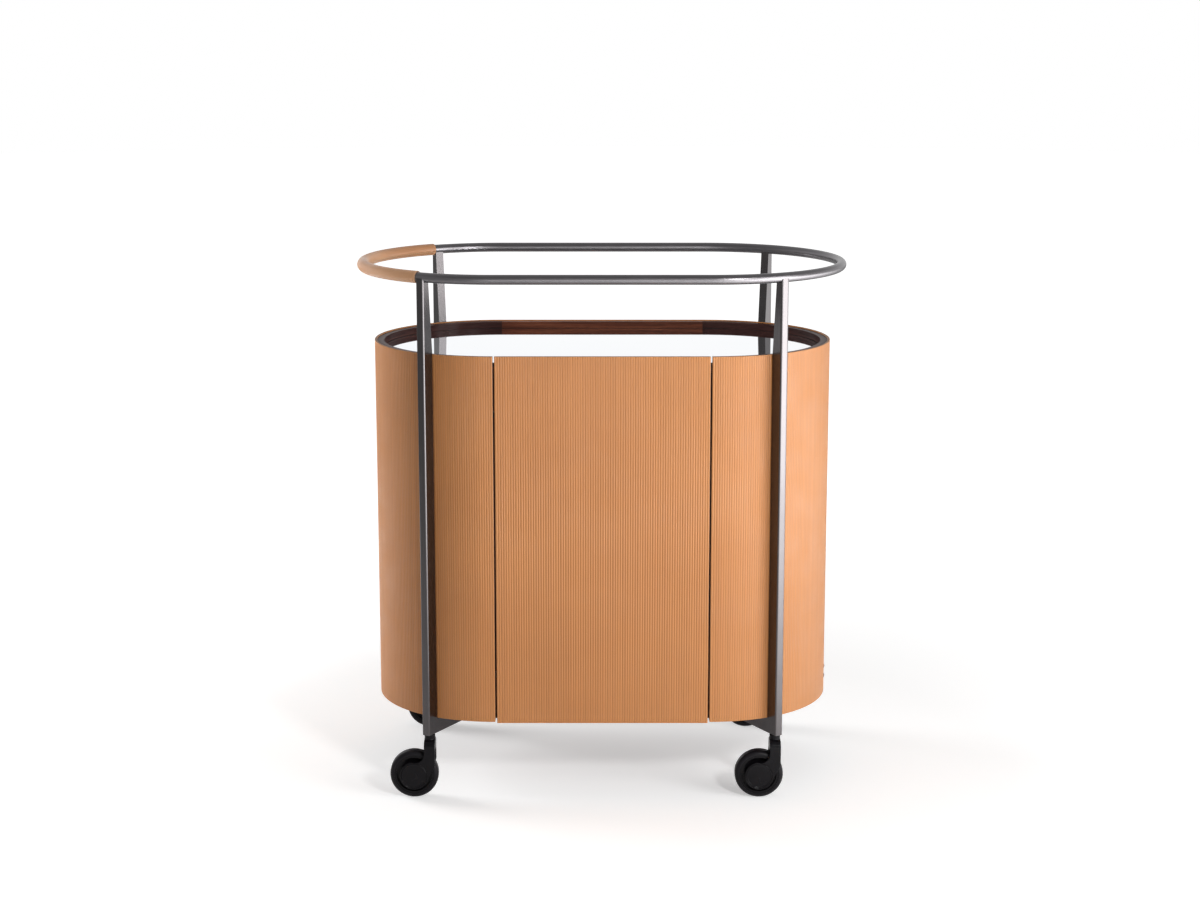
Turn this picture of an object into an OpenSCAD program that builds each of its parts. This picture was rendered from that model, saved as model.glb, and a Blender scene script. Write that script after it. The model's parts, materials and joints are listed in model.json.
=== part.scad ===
// Oval serving cabinet on castors: a leather-clad stadium-shaped body with a sunken glass top,
// carried by four radial flat-bar posts that also hold a tubular hand rail.
// Millimetres, +Z up. The origin is on the floor under the middle of the body, the door faces -Y.

/* [Body] */
// Length of the straight front and back between the round ends
straight_len = 352; // [300:1:420]
// Radius of the round ends, to the face of the leather
end_r = 205; // [190:1:230]
// Height of the clad body from its lower edge to the rim
body_h = 608; // [450:1:700]
// Thickness of the leather, ribs included
leather_t = 4; // [3:0.5:5]
// Thickness of the bent plywood walls, the back panel and the door panel
wall_t = 12; // [10:0.5:18]
// How far the wooden wall stops below the edge of the leather at the rim
wall_drop = 1.5; // [0.5:0.5:4]
// Distance from one rib of the leather to the next
rib_pitch = 5; // [4:0.5:8]
// Depth of the grooves between the ribs
rib_depth = 1; // [0.5:0.1:1.5]
// Share of a rib's pitch that its groove takes
groove_share = 0.4; // [0.2:0.05:0.6]

/* [Top] */
// Depth of the glass top below the rim
recess = 13; // [8:1:40]
// Thickness of the glass
glass_t = 6; // [4:1:10]
// Thickness of the seal round the glass
seal_t = 1.8; // [1:0.1:3]
// Thickness of the board under the glass
top_board_t = 18; // [12:1:25]

/* [Inside] */
// Thickness of the floor board
floor_t = 16; // [12:1:25]
// Thickness of the shelf
shelf_t = 16; // [12:1:25]
// Height of the shelf's upper face above the floor board
shelf_rise = 280; // [150:1:320]
// Distance from the shelf's front edge to the back of the door
shelf_setback = 20; // [14:1:60]
// Width of the upright stiles beside the doorway
stile_w = 22; // [16:1:30]
// Depth of the stiles, front to back
stile_d = 44; // [38:1:70]
// Distance that each stile reaches into the doorway past the wall's edge
stile_lap = 7.5; // [5:0.5:10]
// Half the width of the cleat behind each back seam
cleat_half_w = 18; // [12:1:25]
// Depth of the cleats
cleat_d = 18; // [12:1:25]
// Diameter of the pins under the shelf
shelf_pin_d = 6; // [4:0.5:8]
// Length of the shelf pins
shelf_pin_len = 16; // [12:1:20]
// Depth to which the shelf pins sit in the wood
shelf_pin_hold = 6; // [4:0.5:8]
// Angle between the shelf pins round each end
shelf_pin_step = 45; // [30:1:50]

/* [Door] */
// Gap at each side of the door
door_gap = 3; // [2.5:0.1:5]
// How far the door hangs below the lower edge of the walls
door_drop = 2; // [0:0.5:6]
// Distance from the hinge pins to the door's hinge edge
pin_inset = 10; // [9:0.5:12]
// Diameter of the hinge pins
pin_d = 4; // [3:0.25:4.5]
// Length of the hinge pins
pin_len = 44; // [30:1:60]
// Thickness of the hinge arms
arm_plate_t = 4; // [3:0.5:6]
// Width of the neck of the hinge arms
arm_neck_w = 5.6; // [4:0.2:6]
// Height of the hinge arms' flanges
flange_h = 40; // [30:1:60]
// Thickness of the hinge arms' flanges
flange_t = 2.5; // [2:0.25:4]
// Distance of the hinge arms from the floor board and the top board
hinge_margin = 60; // [40:1:150]
// Size of the magnet catch along the stile, across it and in depth
catch_size = [14, 26, 44]; // [8:1:60]
// Distance from the top board to the catch
catch_margin = 10; // [5:1:60]
// Diameter of the catch's magnet
magnet_d = 9; // [6:0.5:12]
// Thickness of the strike plate on the door
strike_t = 1; // [0.8:0.1:2]
// Diameter of the door's rubber buffers
buffer_d = 10; // [6:0.5:14]

/* [Rail] */
// Diameter of the rail's tube
rail_d = 16; // [12:0.5:25]
// Wall of the rail's tube
rail_wall = 1.5; // [1:0.1:2.5]
// Distance from the face of the leather to the rail's centreline, seen from above
rail_offset = 17; // [14:0.5:30]
// Height of the rail's centreline above the rim
rail_rise = 126; // [80:1:180]
// Thickness of the leather sleeve on the left end of the rail
sleeve_t = 2; // [1:0.25:4]
// Gap between the sleeve and the posts
sleeve_gap = 1; // [0.5:0.25:4]

/* [Posts] */
// Angle of the posts from straight forward, about the centre of each end
post_angle = 30; // [20:1:45]
// Thickness of the flat bar
post_t = 14; // [13:0.5:20]
// Gap between the leather and the posts
post_gap = 1; // [0.5:0.25:3]
// Depth of the posts where they meet the rail
post_top_depth = 15; // [12:0.5:18]
// How far the posts stand out past the rail
post_proud = 0.5; // [0.3:0.1:3]
// Radius on the posts' outer edges
post_edge_r = 3; // [1:0.25:5]
// Height of the foot arms under the body
arm_h = 25; // [20:1:40]
// Length of the foot arms from the face of the leather inwards
arm_reach = 106; // [80:1:140]
// Chamfer at the inner end of the foot arms
arm_chamfer = 12; // [4:1:18]
// Diameter of the bolts that hold the posts to the walls
bolt_d = 6; // [5:0.5:8]
// Depth of the bolts in the posts
bolt_hold = 13; // [8:0.5:16]
// Height of the lower post bolts above the floor board
lower_bolt_rise = 67; // [30:1:150]
// Depth of the upper post bolts below the top board
upper_bolt_drop = 48; // [30:1:150]
// Diameter of the spacers between the leather and the posts
spacer_d = 12; // [9:0.5:13]
// Distances of the arm screws from the face of the leather
arm_screw_insets = [30, 85]; // [20:1:95]

/* [Castors] */
// Height of the castors, from the floor to the posts
castor_h = 107; // [104:1:130]
// Diameter of the wheels
wheel_d = 80; // [60:1:84]
// Width of the wheels
wheel_w = 24; // [18:0.5:30]
// Radius on the tyre's shoulders
tyre_shoulder = 7; // [3:0.5:9]
// Thickness of the tyre
tyre_t = 7; // [4:0.5:12]
// Trail of the wheel's axle behind the swivel axis
trail = 26; // [22:0.5:32]
// Diameter of the neck
neck_d = 17.8; // [15:0.1:22]
// Thickness of the fork's arms
fork_t = 6; // [4:0.5:8]
// Gap between the wheel and the fork's arms
fork_gap = 2; // [1:0.25:4]
// Radius of the fork's hub discs
hub_r = 23.5; // [18:0.5:27]
// Width of the ring round each hub cap
cap_ring = 2.5; // [1.5:0.25:4]
// Thickness of the hub caps
cap_t = 1.5; // [1:0.25:2.5]
// Diameter of the stems that are screwed into the posts
stem_d = 10; // [8:0.5:10]
// Depth of the stems in the posts
stem_hold = 38; // [25:1:50]
// Wall of the bush round each stem
bush_t = 1.5; // [1:0.25:2]
// Diameter of the axles
axle_d = 8; // [6:0.5:10]

/* [End studs] */
// Heights of the two studs on the right end above the lower edge of the body
stud_rises = [19, 36]; // [12:1:60]
// Diameter of the studs' heads
stud_d = 9; // [6:0.5:12]
// Height of the studs' heads
stud_h = 2.2; // [1:0.1:4]

/* [Fits] */
// Running fit of a pin in its hole, on the radius
running_fit = 0.06; // [0.03:0.01:0.1]
// Gap between wooden parts and the walls that they stand in
seat_gap = 0.2; // [0.1:0.05:0.3]
// Gap between the rail's tube and what lies round it
rail_seat = 0.05; // [0.03:0.01:0.1]
// Clearance between faces that pass each other
moving_gap = 0.4; // [0.3:0.05:0.5]

/* [Hidden] */

LEFT = -1;
RIGHT = 1;
FRONT = -1;
BACK = 1;

leather_colour = [0.80, 0.55, 0.37];
sleeve_colour = [0.74, 0.47, 0.29];
dark_wood = [0.27, 0.14, 0.09];
board_wood = [0.36, 0.22, 0.15];
post_metal = [0.36, 0.36, 0.38];
bright_metal = [0.72, 0.73, 0.75];
castor_black = [0.10, 0.10, 0.11];
rubber_black = [0.15, 0.15, 0.15];
top_white = [0.93, 0.95, 0.97];

$fn = 96;
fine_fn = 480;
bleed = 1;

// Body levels and plan
half_straight = straight_len / 2;
body_z = castor_h + arm_h;
rim_z = body_z + body_h;
wood_r = end_r - leather_t;
inner_r = wood_r - wall_t;
board_r = inner_r - seat_gap;
panel_t = leather_t + wall_t;
wood_top_z = rim_z - wall_drop;
glass_z = rim_z - recess;
top_board_z = glass_z - glass_t - top_board_t;
floor_z = body_z + floor_t;
shelf_z = floor_z + shelf_rise - shelf_t;
stile_pin_y = stile_d * 3 / 4;

// Door: the hinge pins sit as deep as the front corner can swing past the wall's edge
door_half_w = half_straight - door_gap;
door_z = body_z - door_drop;
pin_depth = sqrt(pow(pin_inset + door_gap - moving_gap, 2) - pow(pin_inset, 2));
pin_x = door_half_w - pin_inset;
pin_y = -end_r + pin_depth;
pin_behind = panel_t - pin_depth;
swing_r = norm([pin_inset, pin_behind]);
door_back_y = -inner_r;
inside_front_y = pin_y + swing_r + moving_gap;
arm_eye_r = pin_depth - leather_t - moving_gap;
hinge_zs = [floor_z + hinge_margin, top_board_z - hinge_margin];
stile_x = half_straight - stile_lap;
catch_z = top_board_z - catch_margin - catch_size[2];
catch_face_y = door_back_y + strike_t + seat_gap;
flange_front_margin = 2;
flange_back_margin = 6;
flange_screw_spread = flange_h / 3;
catch_screw_depth = 0.7;
catch_screw_spread = 0.3;
screw_d = 4;
screw_head_d = 7;
screw_head_h = 2;
screw_hold = 14;
buffer_shift = 3;
buffer_face_y = door_back_y + seat_gap;

// End studs
stud_shank_r = stud_d / 4;
stud_hold = panel_t / 2;

// Rail and posts
rail_r = end_r + rail_offset;
rail_z = rim_z + rail_rise;
post_in_r = end_r + post_gap;
post_out_r = rail_r + rail_d / 2 + post_proud;
post_top_drop = 1;
post_top_z = rail_z - post_top_drop;
bolt_zs = [floor_z + lower_bolt_rise, top_board_z - upper_bolt_drop];
bolt_head_d = bolt_d * 1.8;
bolt_head_h = bolt_d / 2;
arm_screw_cover = 4;
stem_r = (post_in_r + post_out_r) / 2;

// Castors
wheel_r = wheel_d / 2;
neck_r = neck_d / 2;
slot_half = wheel_w / 2 + fork_gap;
fork_half = slot_half + fork_t;
slot_top_z = wheel_d + fork_gap;
crown_floor = 4;
stem_foot_z = slot_top_z + crown_floor;
fork_top_z = castor_h - moving_gap;
wheel_hub_t = 5;
wheel_web_t = 8;
wheel_rim_t = 4;
rim_inset = 1;
collar_h = 8;
crown_z = fork_top_z - collar_h;
crown_margin = 0.3;
crown_half = neck_r + crown_margin;
tail_drop = 4;
fillet_inset = 2;
fillet_bite = 1.5;
fillet_r = trail - neck_r - fillet_inset;

// ---------------------------------------------------------------- shared shapes

// Stadium outline about the origin
module stadium(r) {
    square([straight_len, 2 * r], center = true);
    for (side = [LEFT, RIGHT])
        translate([side * half_straight, 0])
            circle(r = r);
}

// Stadium outline with its straight front cut back behind the swing of the door
module cut_stadium(r, front_y) {
    difference() {
        stadium(r);
        translate([-half_straight, -r - bleed])
            square([straight_len, r + bleed + front_y]);
    }
}

// Puts its children at the foot of a post, +X pointing outwards along the post's radius
module at_post(side, face) {
    translate([side * half_straight, 0, 0])
        rotate(face * (90 - side * post_angle))
            children();
}

// Puts its children on the swivel axis of a castor, without turning them
module at_castor(side, face) {
    translate([side * (half_straight + stem_r * sin(post_angle)), face * stem_r * cos(post_angle), 0])
        children();
}

// Cylinder along +X that starts at x
module bar_x(x, len, r) {
    translate([x, 0, 0])
        rotate([0, 90, 0])
            cylinder(r = r, h = len);
}

// Cylinder along +Y, centred on the origin
module bar_y(len, r) {
    rotate([90, 0, 0])
        cylinder(r = r, h = len, center = true);
}

// Half ring about one end's centre, on the given side
module end_ring(side, r, t, z, h) {
    translate([side * half_straight, 0, 0])
        rotate(side == RIGHT ? -90 : 90)
            rotate_extrude(angle = 180)
                translate([r, z])
                    square([t, h]);
}

// Offsets of a rib's outline from the groove's bottom: share of the pitch and height
function rib_outline() = [[0, 0], [groove_share / 2, rib_depth], [1 - groove_share / 2, rib_depth]];

// Plan of the ribbed leather round an end, filled to the end's centre
module ribbed_sector() {
    ribs = round(PI * end_r / rib_pitch);
    points = [for (i = [0:ribs - 1], p = rib_outline())
        let (a = -90 + 180 * (i + p[0]) / ribs, r = end_r - rib_depth + p[1])
            [r * cos(a), r * sin(a)]];
    polygon(concat(points, [[0, end_r - rib_depth], [0, 0]]));
}

// Plan of a ribbed straight strip: its back on the X axis, its ribs towards +Y
module ribbed_strip(width) {
    ribs = round(width / rib_pitch);
    base = leather_t - rib_depth;
    points = [for (i = [0:ribs - 1], p = rib_outline())
        [width * ((i + p[0]) / ribs - 0.5), base + p[1]]];
    polygon(concat(points, [[width / 2, base], [width / 2, 0], [-width / 2, 0]]));
}

// ---------------------------------------------------------------- body

// Holes that the post bolts of one end need, seen from the end's own side
module bolt_holes(side) {
    for (face = [FRONT, BACK], z = bolt_zs)
        at_post(side, face)
            translate([0, 0, z])
                bar_x(inner_r - bleed, panel_t + 2 * bleed, bolt_d / 2 + running_fit);
}

// Shelf pins round one end, longer or thicker by the given amounts
module end_pins(side, extra_len, extra_r) {
    for (step = [-1:1])
        translate([side * half_straight, 0, shelf_z - shelf_pin_d / 2])
            rotate(side == RIGHT ? step * shelf_pin_step : 180 + step * shelf_pin_step)
                bar_x(inner_r + shelf_pin_hold - shelf_pin_len, shelf_pin_len + extra_len,
                      shelf_pin_d / 2 + extra_r);
}

module shell(side) {
    color(dark_wood)
        difference() {
            end_ring(side, inner_r, wall_t, body_z, body_h - wall_drop);
            bolt_holes(side);
            end_pins(side, running_fit, running_fit);
            if (side == RIGHT)
                stud_holes();
        }
}

module left_shell() {
    shell(LEFT);
}

module right_shell() {
    shell(RIGHT);
}

module back_panel() {
    color(dark_wood)
        difference() {
            translate([-half_straight, inner_r, body_z])
                cube([straight_len, wall_t, body_h - wall_drop]);
            back_pins(running_fit, running_fit);
        }
}

module end_leather(side) {
    color(leather_colour)
        difference() {
            translate([side * half_straight, 0, body_z])
                rotate(side == RIGHT ? 0 : 180)
                    linear_extrude(body_h)
                        ribbed_sector();
            translate([side * half_straight, 0, body_z - bleed])
                cylinder(r = wood_r, h = body_h + 2 * bleed, $fn = fine_fn);
            bolt_holes(side);
            if (side == RIGHT)
                stud_holes();
        }
}

module left_leather() {
    end_leather(LEFT);
}

module right_leather() {
    end_leather(RIGHT);
}

module back_leather() {
    color(leather_colour)
        translate([0, wood_r, body_z])
            linear_extrude(body_h)
                ribbed_strip(straight_len);
}

module floor_board() {
    color(board_wood)
        difference() {
            translate([0, 0, body_z])
                linear_extrude(floor_t)
                    cut_stadium(board_r, inside_front_y);
            arm_screw_shafts(running_fit);
        }
}

module top_board() {
    color(board_wood)
        translate([0, 0, top_board_z])
            linear_extrude(top_board_t)
                cut_stadium(board_r, inside_front_y);
}

module glass_top() {
    color(top_white)
        translate([0, 0, glass_z - glass_t])
            linear_extrude(glass_t)
                cut_stadium(board_r - seal_t, inside_front_y + seal_t);
}

module glass_seal() {
    color(rubber_black)
        translate([0, 0, glass_z - glass_t])
            linear_extrude(glass_t)
                difference() {
                    cut_stadium(board_r, inside_front_y);
                    cut_stadium(board_r - seal_t, inside_front_y + seal_t);
                }
}

// Plan of a stile on the given side, grown by a gap
module stile_plan(side, gap) {
    x = side == RIGHT ? stile_x : -stile_x - stile_w;
    translate([x - gap, inside_front_y - gap])
        square([stile_w + 2 * gap, stile_d + 2 * gap]);
}

module stile(side) {
    color(dark_wood)
        difference() {
            translate([0, 0, floor_z])
                linear_extrude(top_board_z - floor_z)
                    intersection() {
                        stile_plan(side, 0);
                        stadium(board_r);
                    }
            stile_pin(side, running_fit, running_fit);
            fixing_screw_shafts(running_fit);
        }
}

module left_stile() {
    stile(LEFT);
}

module right_stile() {
    stile(RIGHT);
}

// Plan of the two cleats behind the back seams, grown by a gap
module cleat_plan(gap) {
    for (side = [LEFT, RIGHT])
        translate([side * half_straight - cleat_half_w - gap, board_r - cleat_d - gap])
            square([2 * (cleat_half_w + gap), cleat_d + 2 * gap]);
}

module back_cleats() {
    color(dark_wood)
        translate([0, 0, floor_z])
            linear_extrude(top_board_z - floor_z)
                intersection() {
                    cleat_plan(0);
                    stadium(board_r);
                }
}

module shelf() {
    color(board_wood)
        translate([0, 0, shelf_z])
            linear_extrude(shelf_t)
                difference() {
                    cut_stadium(board_r, door_back_y + shelf_setback);
                    stile_plan(LEFT, bleed);
                    stile_plan(RIGHT, bleed);
                    cleat_plan(bleed);
                }
}

// Pins under the shelf's back edge, let into the back panel
module back_pins(extra_len, extra_r) {
    for (side = [LEFT, RIGHT])
        translate([side * half_straight / 2, 0, shelf_z - shelf_pin_d / 2])
            rotate(90)
                bar_x(inner_r + shelf_pin_hold - shelf_pin_len, shelf_pin_len + extra_len,
                      shelf_pin_d / 2 + extra_r);
}

// Pin under the shelf's front edge, let into a stile
module stile_pin(side, extra_len, extra_r) {
    translate([side * stile_x, inside_front_y + stile_pin_y, shelf_z - shelf_pin_d / 2])
        rotate(side == RIGHT ? 0 : 180)
            bar_x(shelf_pin_hold - shelf_pin_len, shelf_pin_len + extra_len,
                  shelf_pin_d / 2 + extra_r);
}

module shelf_pins() {
    color(bright_metal) {
        back_pins(0, 0);
        for (side = [LEFT, RIGHT]) {
            end_pins(side, 0, 0);
            stile_pin(side, 0, 0);
        }
    }
}

// ---------------------------------------------------------------- end studs

module stud_holes() {
    for (rise = stud_rises)
        translate([half_straight, 0, body_z + rise])
            bar_x(end_r - stud_hold, stud_hold + bleed, stud_shank_r + running_fit);
}

module end_studs() {
    dome_r = (pow(stud_d / 2, 2) + pow(stud_h, 2)) / (2 * stud_h);
    color(post_metal)
        for (rise = stud_rises)
            translate([half_straight + end_r, 0, body_z + rise])
                rotate([0, 90, 0]) {
                    intersection() {
                        translate([0, 0, stud_h - dome_r])
                            sphere(r = dome_r);
                        cylinder(r = stud_d / 2, h = stud_h);
                    }
                    translate([0, 0, -stud_hold])
                        cylinder(r = stud_shank_r, h = stud_hold + stud_h / 2);
                }
}

// ---------------------------------------------------------------- rail and posts

// The rail's closed path, swept by a round bar of radius r
module rail_bar(r) {
    for (side = [LEFT, RIGHT]) {
        translate([side * half_straight, 0, rail_z])
            rotate(side == RIGHT ? -90 : 90)
                rotate_extrude(angle = 180)
                    translate([rail_r, 0])
                        circle(r = r);
        translate([-half_straight, side * rail_r, rail_z])
            bar_x(0, straight_len, r);
    }
}

module rail() {
    color(post_metal)
        difference() {
            rail_bar(rail_d / 2);
            rail_bar(rail_d / 2 - rail_wall);
        }
}

module rail_leather() {
    end_angle = post_angle + asin((post_t / 2 + sleeve_gap) / rail_r);
    color(sleeve_colour)
        translate([-half_straight, 0, rail_z])
            rotate(90 + end_angle)
                rotate_extrude(angle = 180 - 2 * end_angle)
                    translate([rail_r, 0])
                        difference() {
                            circle(r = rail_d / 2 + sleeve_t);
                            circle(r = rail_d / 2 + rail_seat);
                        }
}

// Side view of a post with its foot arm: distance from the end's centre, height
module post_side() {
    arm_in_r = end_r - arm_reach;
    polygon([
        [arm_in_r, body_z],
        [arm_in_r, castor_h + arm_chamfer],
        [arm_in_r + arm_chamfer, castor_h],
        [post_out_r, castor_h],
        [post_out_r, post_top_z],
        [post_out_r - post_top_depth, post_top_z],
        [post_in_r, rim_z],
        [post_in_r, body_z]
    ]);
}

// Plan of the flat bar, rounded on its outer edges
module post_plan() {
    depth = post_out_r - (end_r - arm_reach);
    translate([end_r - arm_reach, 0]) {
        translate([0, -post_t / 2])
            square([depth - post_edge_r, post_t]);
        translate([0, post_edge_r - post_t / 2])
            square([depth, post_t - 2 * post_edge_r]);
        for (side = [LEFT, RIGHT])
            translate([depth - post_edge_r, side * (post_t / 2 - post_edge_r)])
                circle(r = post_edge_r);
    }
}

module post(side, face) {
    color(post_metal)
        at_post(side, face)
            difference() {
                intersection() {
                    translate([0, post_t / 2, 0])
                        rotate([90, 0, 0])
                            linear_extrude(post_t)
                                post_side();
                    linear_extrude(post_top_z)
                        post_plan();
                }
                translate([0, 0, rail_z])
                    rotate_extrude()
                        translate([rail_r, 0])
                            circle(r = rail_d / 2 + rail_seat);
                for (z = bolt_zs)
                    translate([0, 0, z])
                        bar_x(post_in_r - bleed, bolt_hold + bleed, bolt_d / 2 + running_fit);
                translate([stem_r, 0, castor_h - bleed])
                    cylinder(r = stem_d / 2 + running_fit, h = stem_hold + bleed);
                for (inset = arm_screw_insets)
                    translate([end_r - inset, 0, castor_h - bleed]) {
                        cylinder(r = bolt_d / 2 + running_fit, h = arm_h + 2 * bleed);
                        cylinder(r = bolt_head_d / 2 + seat_gap, h = bolt_head_h + 2 * bleed);
                    }
            }
}

module post_front_left() {
    post(LEFT, FRONT);
}

module post_front_right() {
    post(RIGHT, FRONT);
}

module post_back_left() {
    post(LEFT, BACK);
}

module post_back_right() {
    post(RIGHT, BACK);
}

module post_bolts() {
    color(bright_metal)
        for (side = [LEFT, RIGHT], face = [FRONT, BACK], z = bolt_zs)
            at_post(side, face)
                translate([0, 0, z]) {
                    head_x = inner_r - seat_gap - bolt_head_h;
                    bar_x(head_x, bolt_head_h, bolt_head_d / 2);
                    bar_x(head_x, post_in_r + bolt_hold - seat_gap - head_x, bolt_d / 2);
                }
}

module post_spacers() {
    color(castor_black)
        for (side = [LEFT, RIGHT], face = [FRONT, BACK], z = bolt_zs)
            at_post(side, face)
                translate([0, 0, z])
                    difference() {
                        bar_x(end_r, post_gap, spacer_d / 2);
                        bar_x(end_r - bleed, post_gap + 2 * bleed, bolt_d / 2 + running_fit);
                    }
}

// Shafts of the screws that hold the floor board down on the foot arms
module arm_screw_shafts(extra_r) {
    top_z = body_z + floor_t - arm_screw_cover;
    for (side = [LEFT, RIGHT], face = [FRONT, BACK], inset = arm_screw_insets)
        at_post(side, face)
            translate([end_r - inset, 0, castor_h + bleed])
                cylinder(r = bolt_d / 2 + extra_r, h = top_z - castor_h - bleed + extra_r);
}

module arm_screws() {
    color(bright_metal) {
        arm_screw_shafts(0);
        for (side = [LEFT, RIGHT], face = [FRONT, BACK], inset = arm_screw_insets)
            at_post(side, face)
                translate([end_r - inset, 0, castor_h + bleed])
                    cylinder(r = bolt_head_d / 2, h = bolt_head_h);
    }
}

// ---------------------------------------------------------------- door

// Puts its children at the height of each hinge arm, on the axis of the hinge pins
module at_hinges() {
    for (z = hinge_zs)
        translate([pin_x, pin_y, z])
            children();
}

module door_panel() {
    slot_x = arm_eye_r + moving_gap;
    slot_h = arm_plate_t + 2 * moving_gap;
    color(dark_wood)
        difference() {
            translate([-door_half_w, -wood_r, door_z])
                cube([2 * door_half_w, wall_t, wood_top_z - door_z]);
            at_hinges() {
                translate([-slot_x, -pin_depth, -slot_h / 2])
                    cube([slot_x + pin_inset + bleed, panel_t + bleed, slot_h]);
                cylinder(r = pin_d / 2 + running_fit, h = pin_len + 2 * running_fit, center = true);
            }
        }
}

module door_leather() {
    color(leather_colour)
        translate([0, -wood_r, door_z])
            rotate(180)
                linear_extrude(rim_z - door_z)
                    ribbed_strip(2 * door_half_w);
}

module hinge_pins() {
    color(bright_metal)
        at_hinges()
            cylinder(r = pin_d / 2, h = pin_len, center = true);
}

module hinge_arms() {
    reach = stile_x - pin_x;
    neck_len = inside_front_y - pin_y + stile_d - flange_back_margin;
    flange_y = inside_front_y - pin_y + flange_front_margin;
    color(bright_metal)
        difference() {
            at_hinges() {
                difference() {
                    translate([0, 0, -arm_plate_t / 2])
                        linear_extrude(arm_plate_t) {
                            circle(r = arm_eye_r);
                            translate([-arm_neck_w / 2, 0])
                                square([arm_neck_w, neck_len]);
                            translate([0, flange_y])
                                square([reach, neck_len - flange_y]);
                        }
                    cylinder(r = pin_d / 2 + running_fit, h = arm_plate_t + bleed, center = true);
                }
                translate([reach - flange_t, flange_y, -flange_h / 2])
                    cube([flange_t, neck_len - flange_y, flange_h]);
            }
            fixing_screw_shafts(running_fit);
        }
}

module catch_body() {
    color(castor_black)
        difference() {
            translate([-stile_x, catch_face_y, catch_z])
                cube(catch_size);
            translate([-stile_x + catch_size[0] / 2, catch_face_y, catch_z + catch_size[2] / 2])
                bar_y(catch_size[1], magnet_d / 2 + running_fit);
            fixing_screw_shafts(running_fit);
        }
}

module catch_magnet() {
    color(bright_metal)
        translate([-stile_x + catch_size[0] / 2, catch_face_y + catch_size[1] / 4,
                   catch_z + catch_size[2] / 2])
            bar_y(catch_size[1] / 2, magnet_d / 2);
}

module strike_plate() {
    color(bright_metal)
        translate([-stile_x, door_back_y, catch_z])
            cube([catch_size[0], strike_t, catch_size[2]]);
}

// Puts its children at each screw of the hinge arms, +X pointing into the stile
module at_hinge_screws() {
    for (z = hinge_zs, end = [-1, 1])
        translate([stile_x - flange_t, inside_front_y + stile_d / 2, z + end * flange_screw_spread])
            children();
}

// Puts its children at each screw of the catch, +X pointing into the stile
module at_catch_screws() {
    for (end = [-1, 1])
        translate([-stile_x + catch_size[0], catch_face_y + catch_size[1] * catch_screw_depth,
                   catch_z + catch_size[2] * (0.5 + end * catch_screw_spread)])
            rotate(180)
                children();
}

// Shafts of the screws that hold the hinge arms and the catch to the stiles
module fixing_screw_shafts(extra_r) {
    at_hinge_screws()
        bar_x(0, flange_t + screw_hold, screw_d / 2 + extra_r);
    at_catch_screws()
        bar_x(0, catch_size[0] + screw_hold, screw_d / 2 + extra_r);
}

module fixing_screws() {
    color(bright_metal) {
        fixing_screw_shafts(0);
        at_hinge_screws()
            bar_x(-screw_head_h, screw_head_h, screw_head_d / 2);
        at_catch_screws()
            bar_x(-screw_head_h, screw_head_h, screw_head_d / 2);
    }
}

module door_buffers() {
    color(rubber_black)
        for (z = hinge_zs)
            translate([buffer_shift - stile_x - stile_w / 2, (inside_front_y + buffer_face_y) / 2, z])
                bar_y(inside_front_y - buffer_face_y, buffer_d / 2);
}

// ---------------------------------------------------------------- castors

// Stems screwed into the posts, each turning in the bush of its fork
module castor_stems() {
    color(bright_metal)
        for (side = [LEFT, RIGHT], face = [FRONT, BACK])
            at_castor(side, face)
                translate([0, 0, stem_foot_z])
                    cylinder(r = stem_d / 2, h = castor_h + stem_hold - stem_foot_z);
}

// Point at a given angle on a circle about a given centre
function on_circle(centre, r, angle) = centre + r * [cos(angle), sin(angle)];

// Side view of the fork's arm, from the crown down to the hub: distance from the swivel axis, height
module fork_side() {
    hub = [-trail, wheel_r];
    hub_top_z = wheel_r + hub_r;
    tail_z = hub_top_z - tail_drop;
    tail_r = neck_r * 0.8;
    tail_turn = 30;
    hub_meet = 20;
    fillet_z = hub_top_z + fillet_r - fillet_bite;
    difference() {
        union() {
            translate([-crown_half, tail_z])
                square([2 * crown_half, crown_z - tail_z]);
            translate([-crown_half - fillet_r, wheel_r])
                square([fillet_r + bleed, fillet_z - wheel_r]);
            translate(hub)
                circle(r = hub_r);
            polygon(concat(
                [hub, [-crown_half, hub_top_z], [crown_half, hub_top_z]],
                [for (a = [0:-tail_turn / 3:-tail_turn]) on_circle([crown_half - tail_r, tail_z], tail_r, a)],
                [on_circle(hub, hub_r - bleed, -hub_meet)]
            ));
        }
        translate([-crown_half - fillet_r, fillet_z])
            circle(r = fillet_r);
    }
}

// Front view of the fork: two arms round the wheel under rounded shoulders
module fork_front() {
    shoulder_r = fork_half - neck_r;
    shoulder_z = crown_z - shoulder_r;
    slot_r = slot_half / 2;
    difference() {
        union() {
            translate([-fork_half, 0])
                square([2 * fork_half, shoulder_z]);
            translate([-neck_r, 0])
                square([neck_d, crown_z]);
            for (side = [LEFT, RIGHT])
                translate([side * neck_r, shoulder_z])
                    circle(r = shoulder_r);
        }
        translate([-slot_half, -bleed])
            square([2 * slot_half, slot_top_z - slot_r + bleed]);
        translate([-slot_r, 0])
            square([2 * slot_r, slot_top_z]);
        for (side = [LEFT, RIGHT])
            translate([side * slot_r, slot_top_z - slot_r])
                circle(r = slot_r);
    }
}

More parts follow.
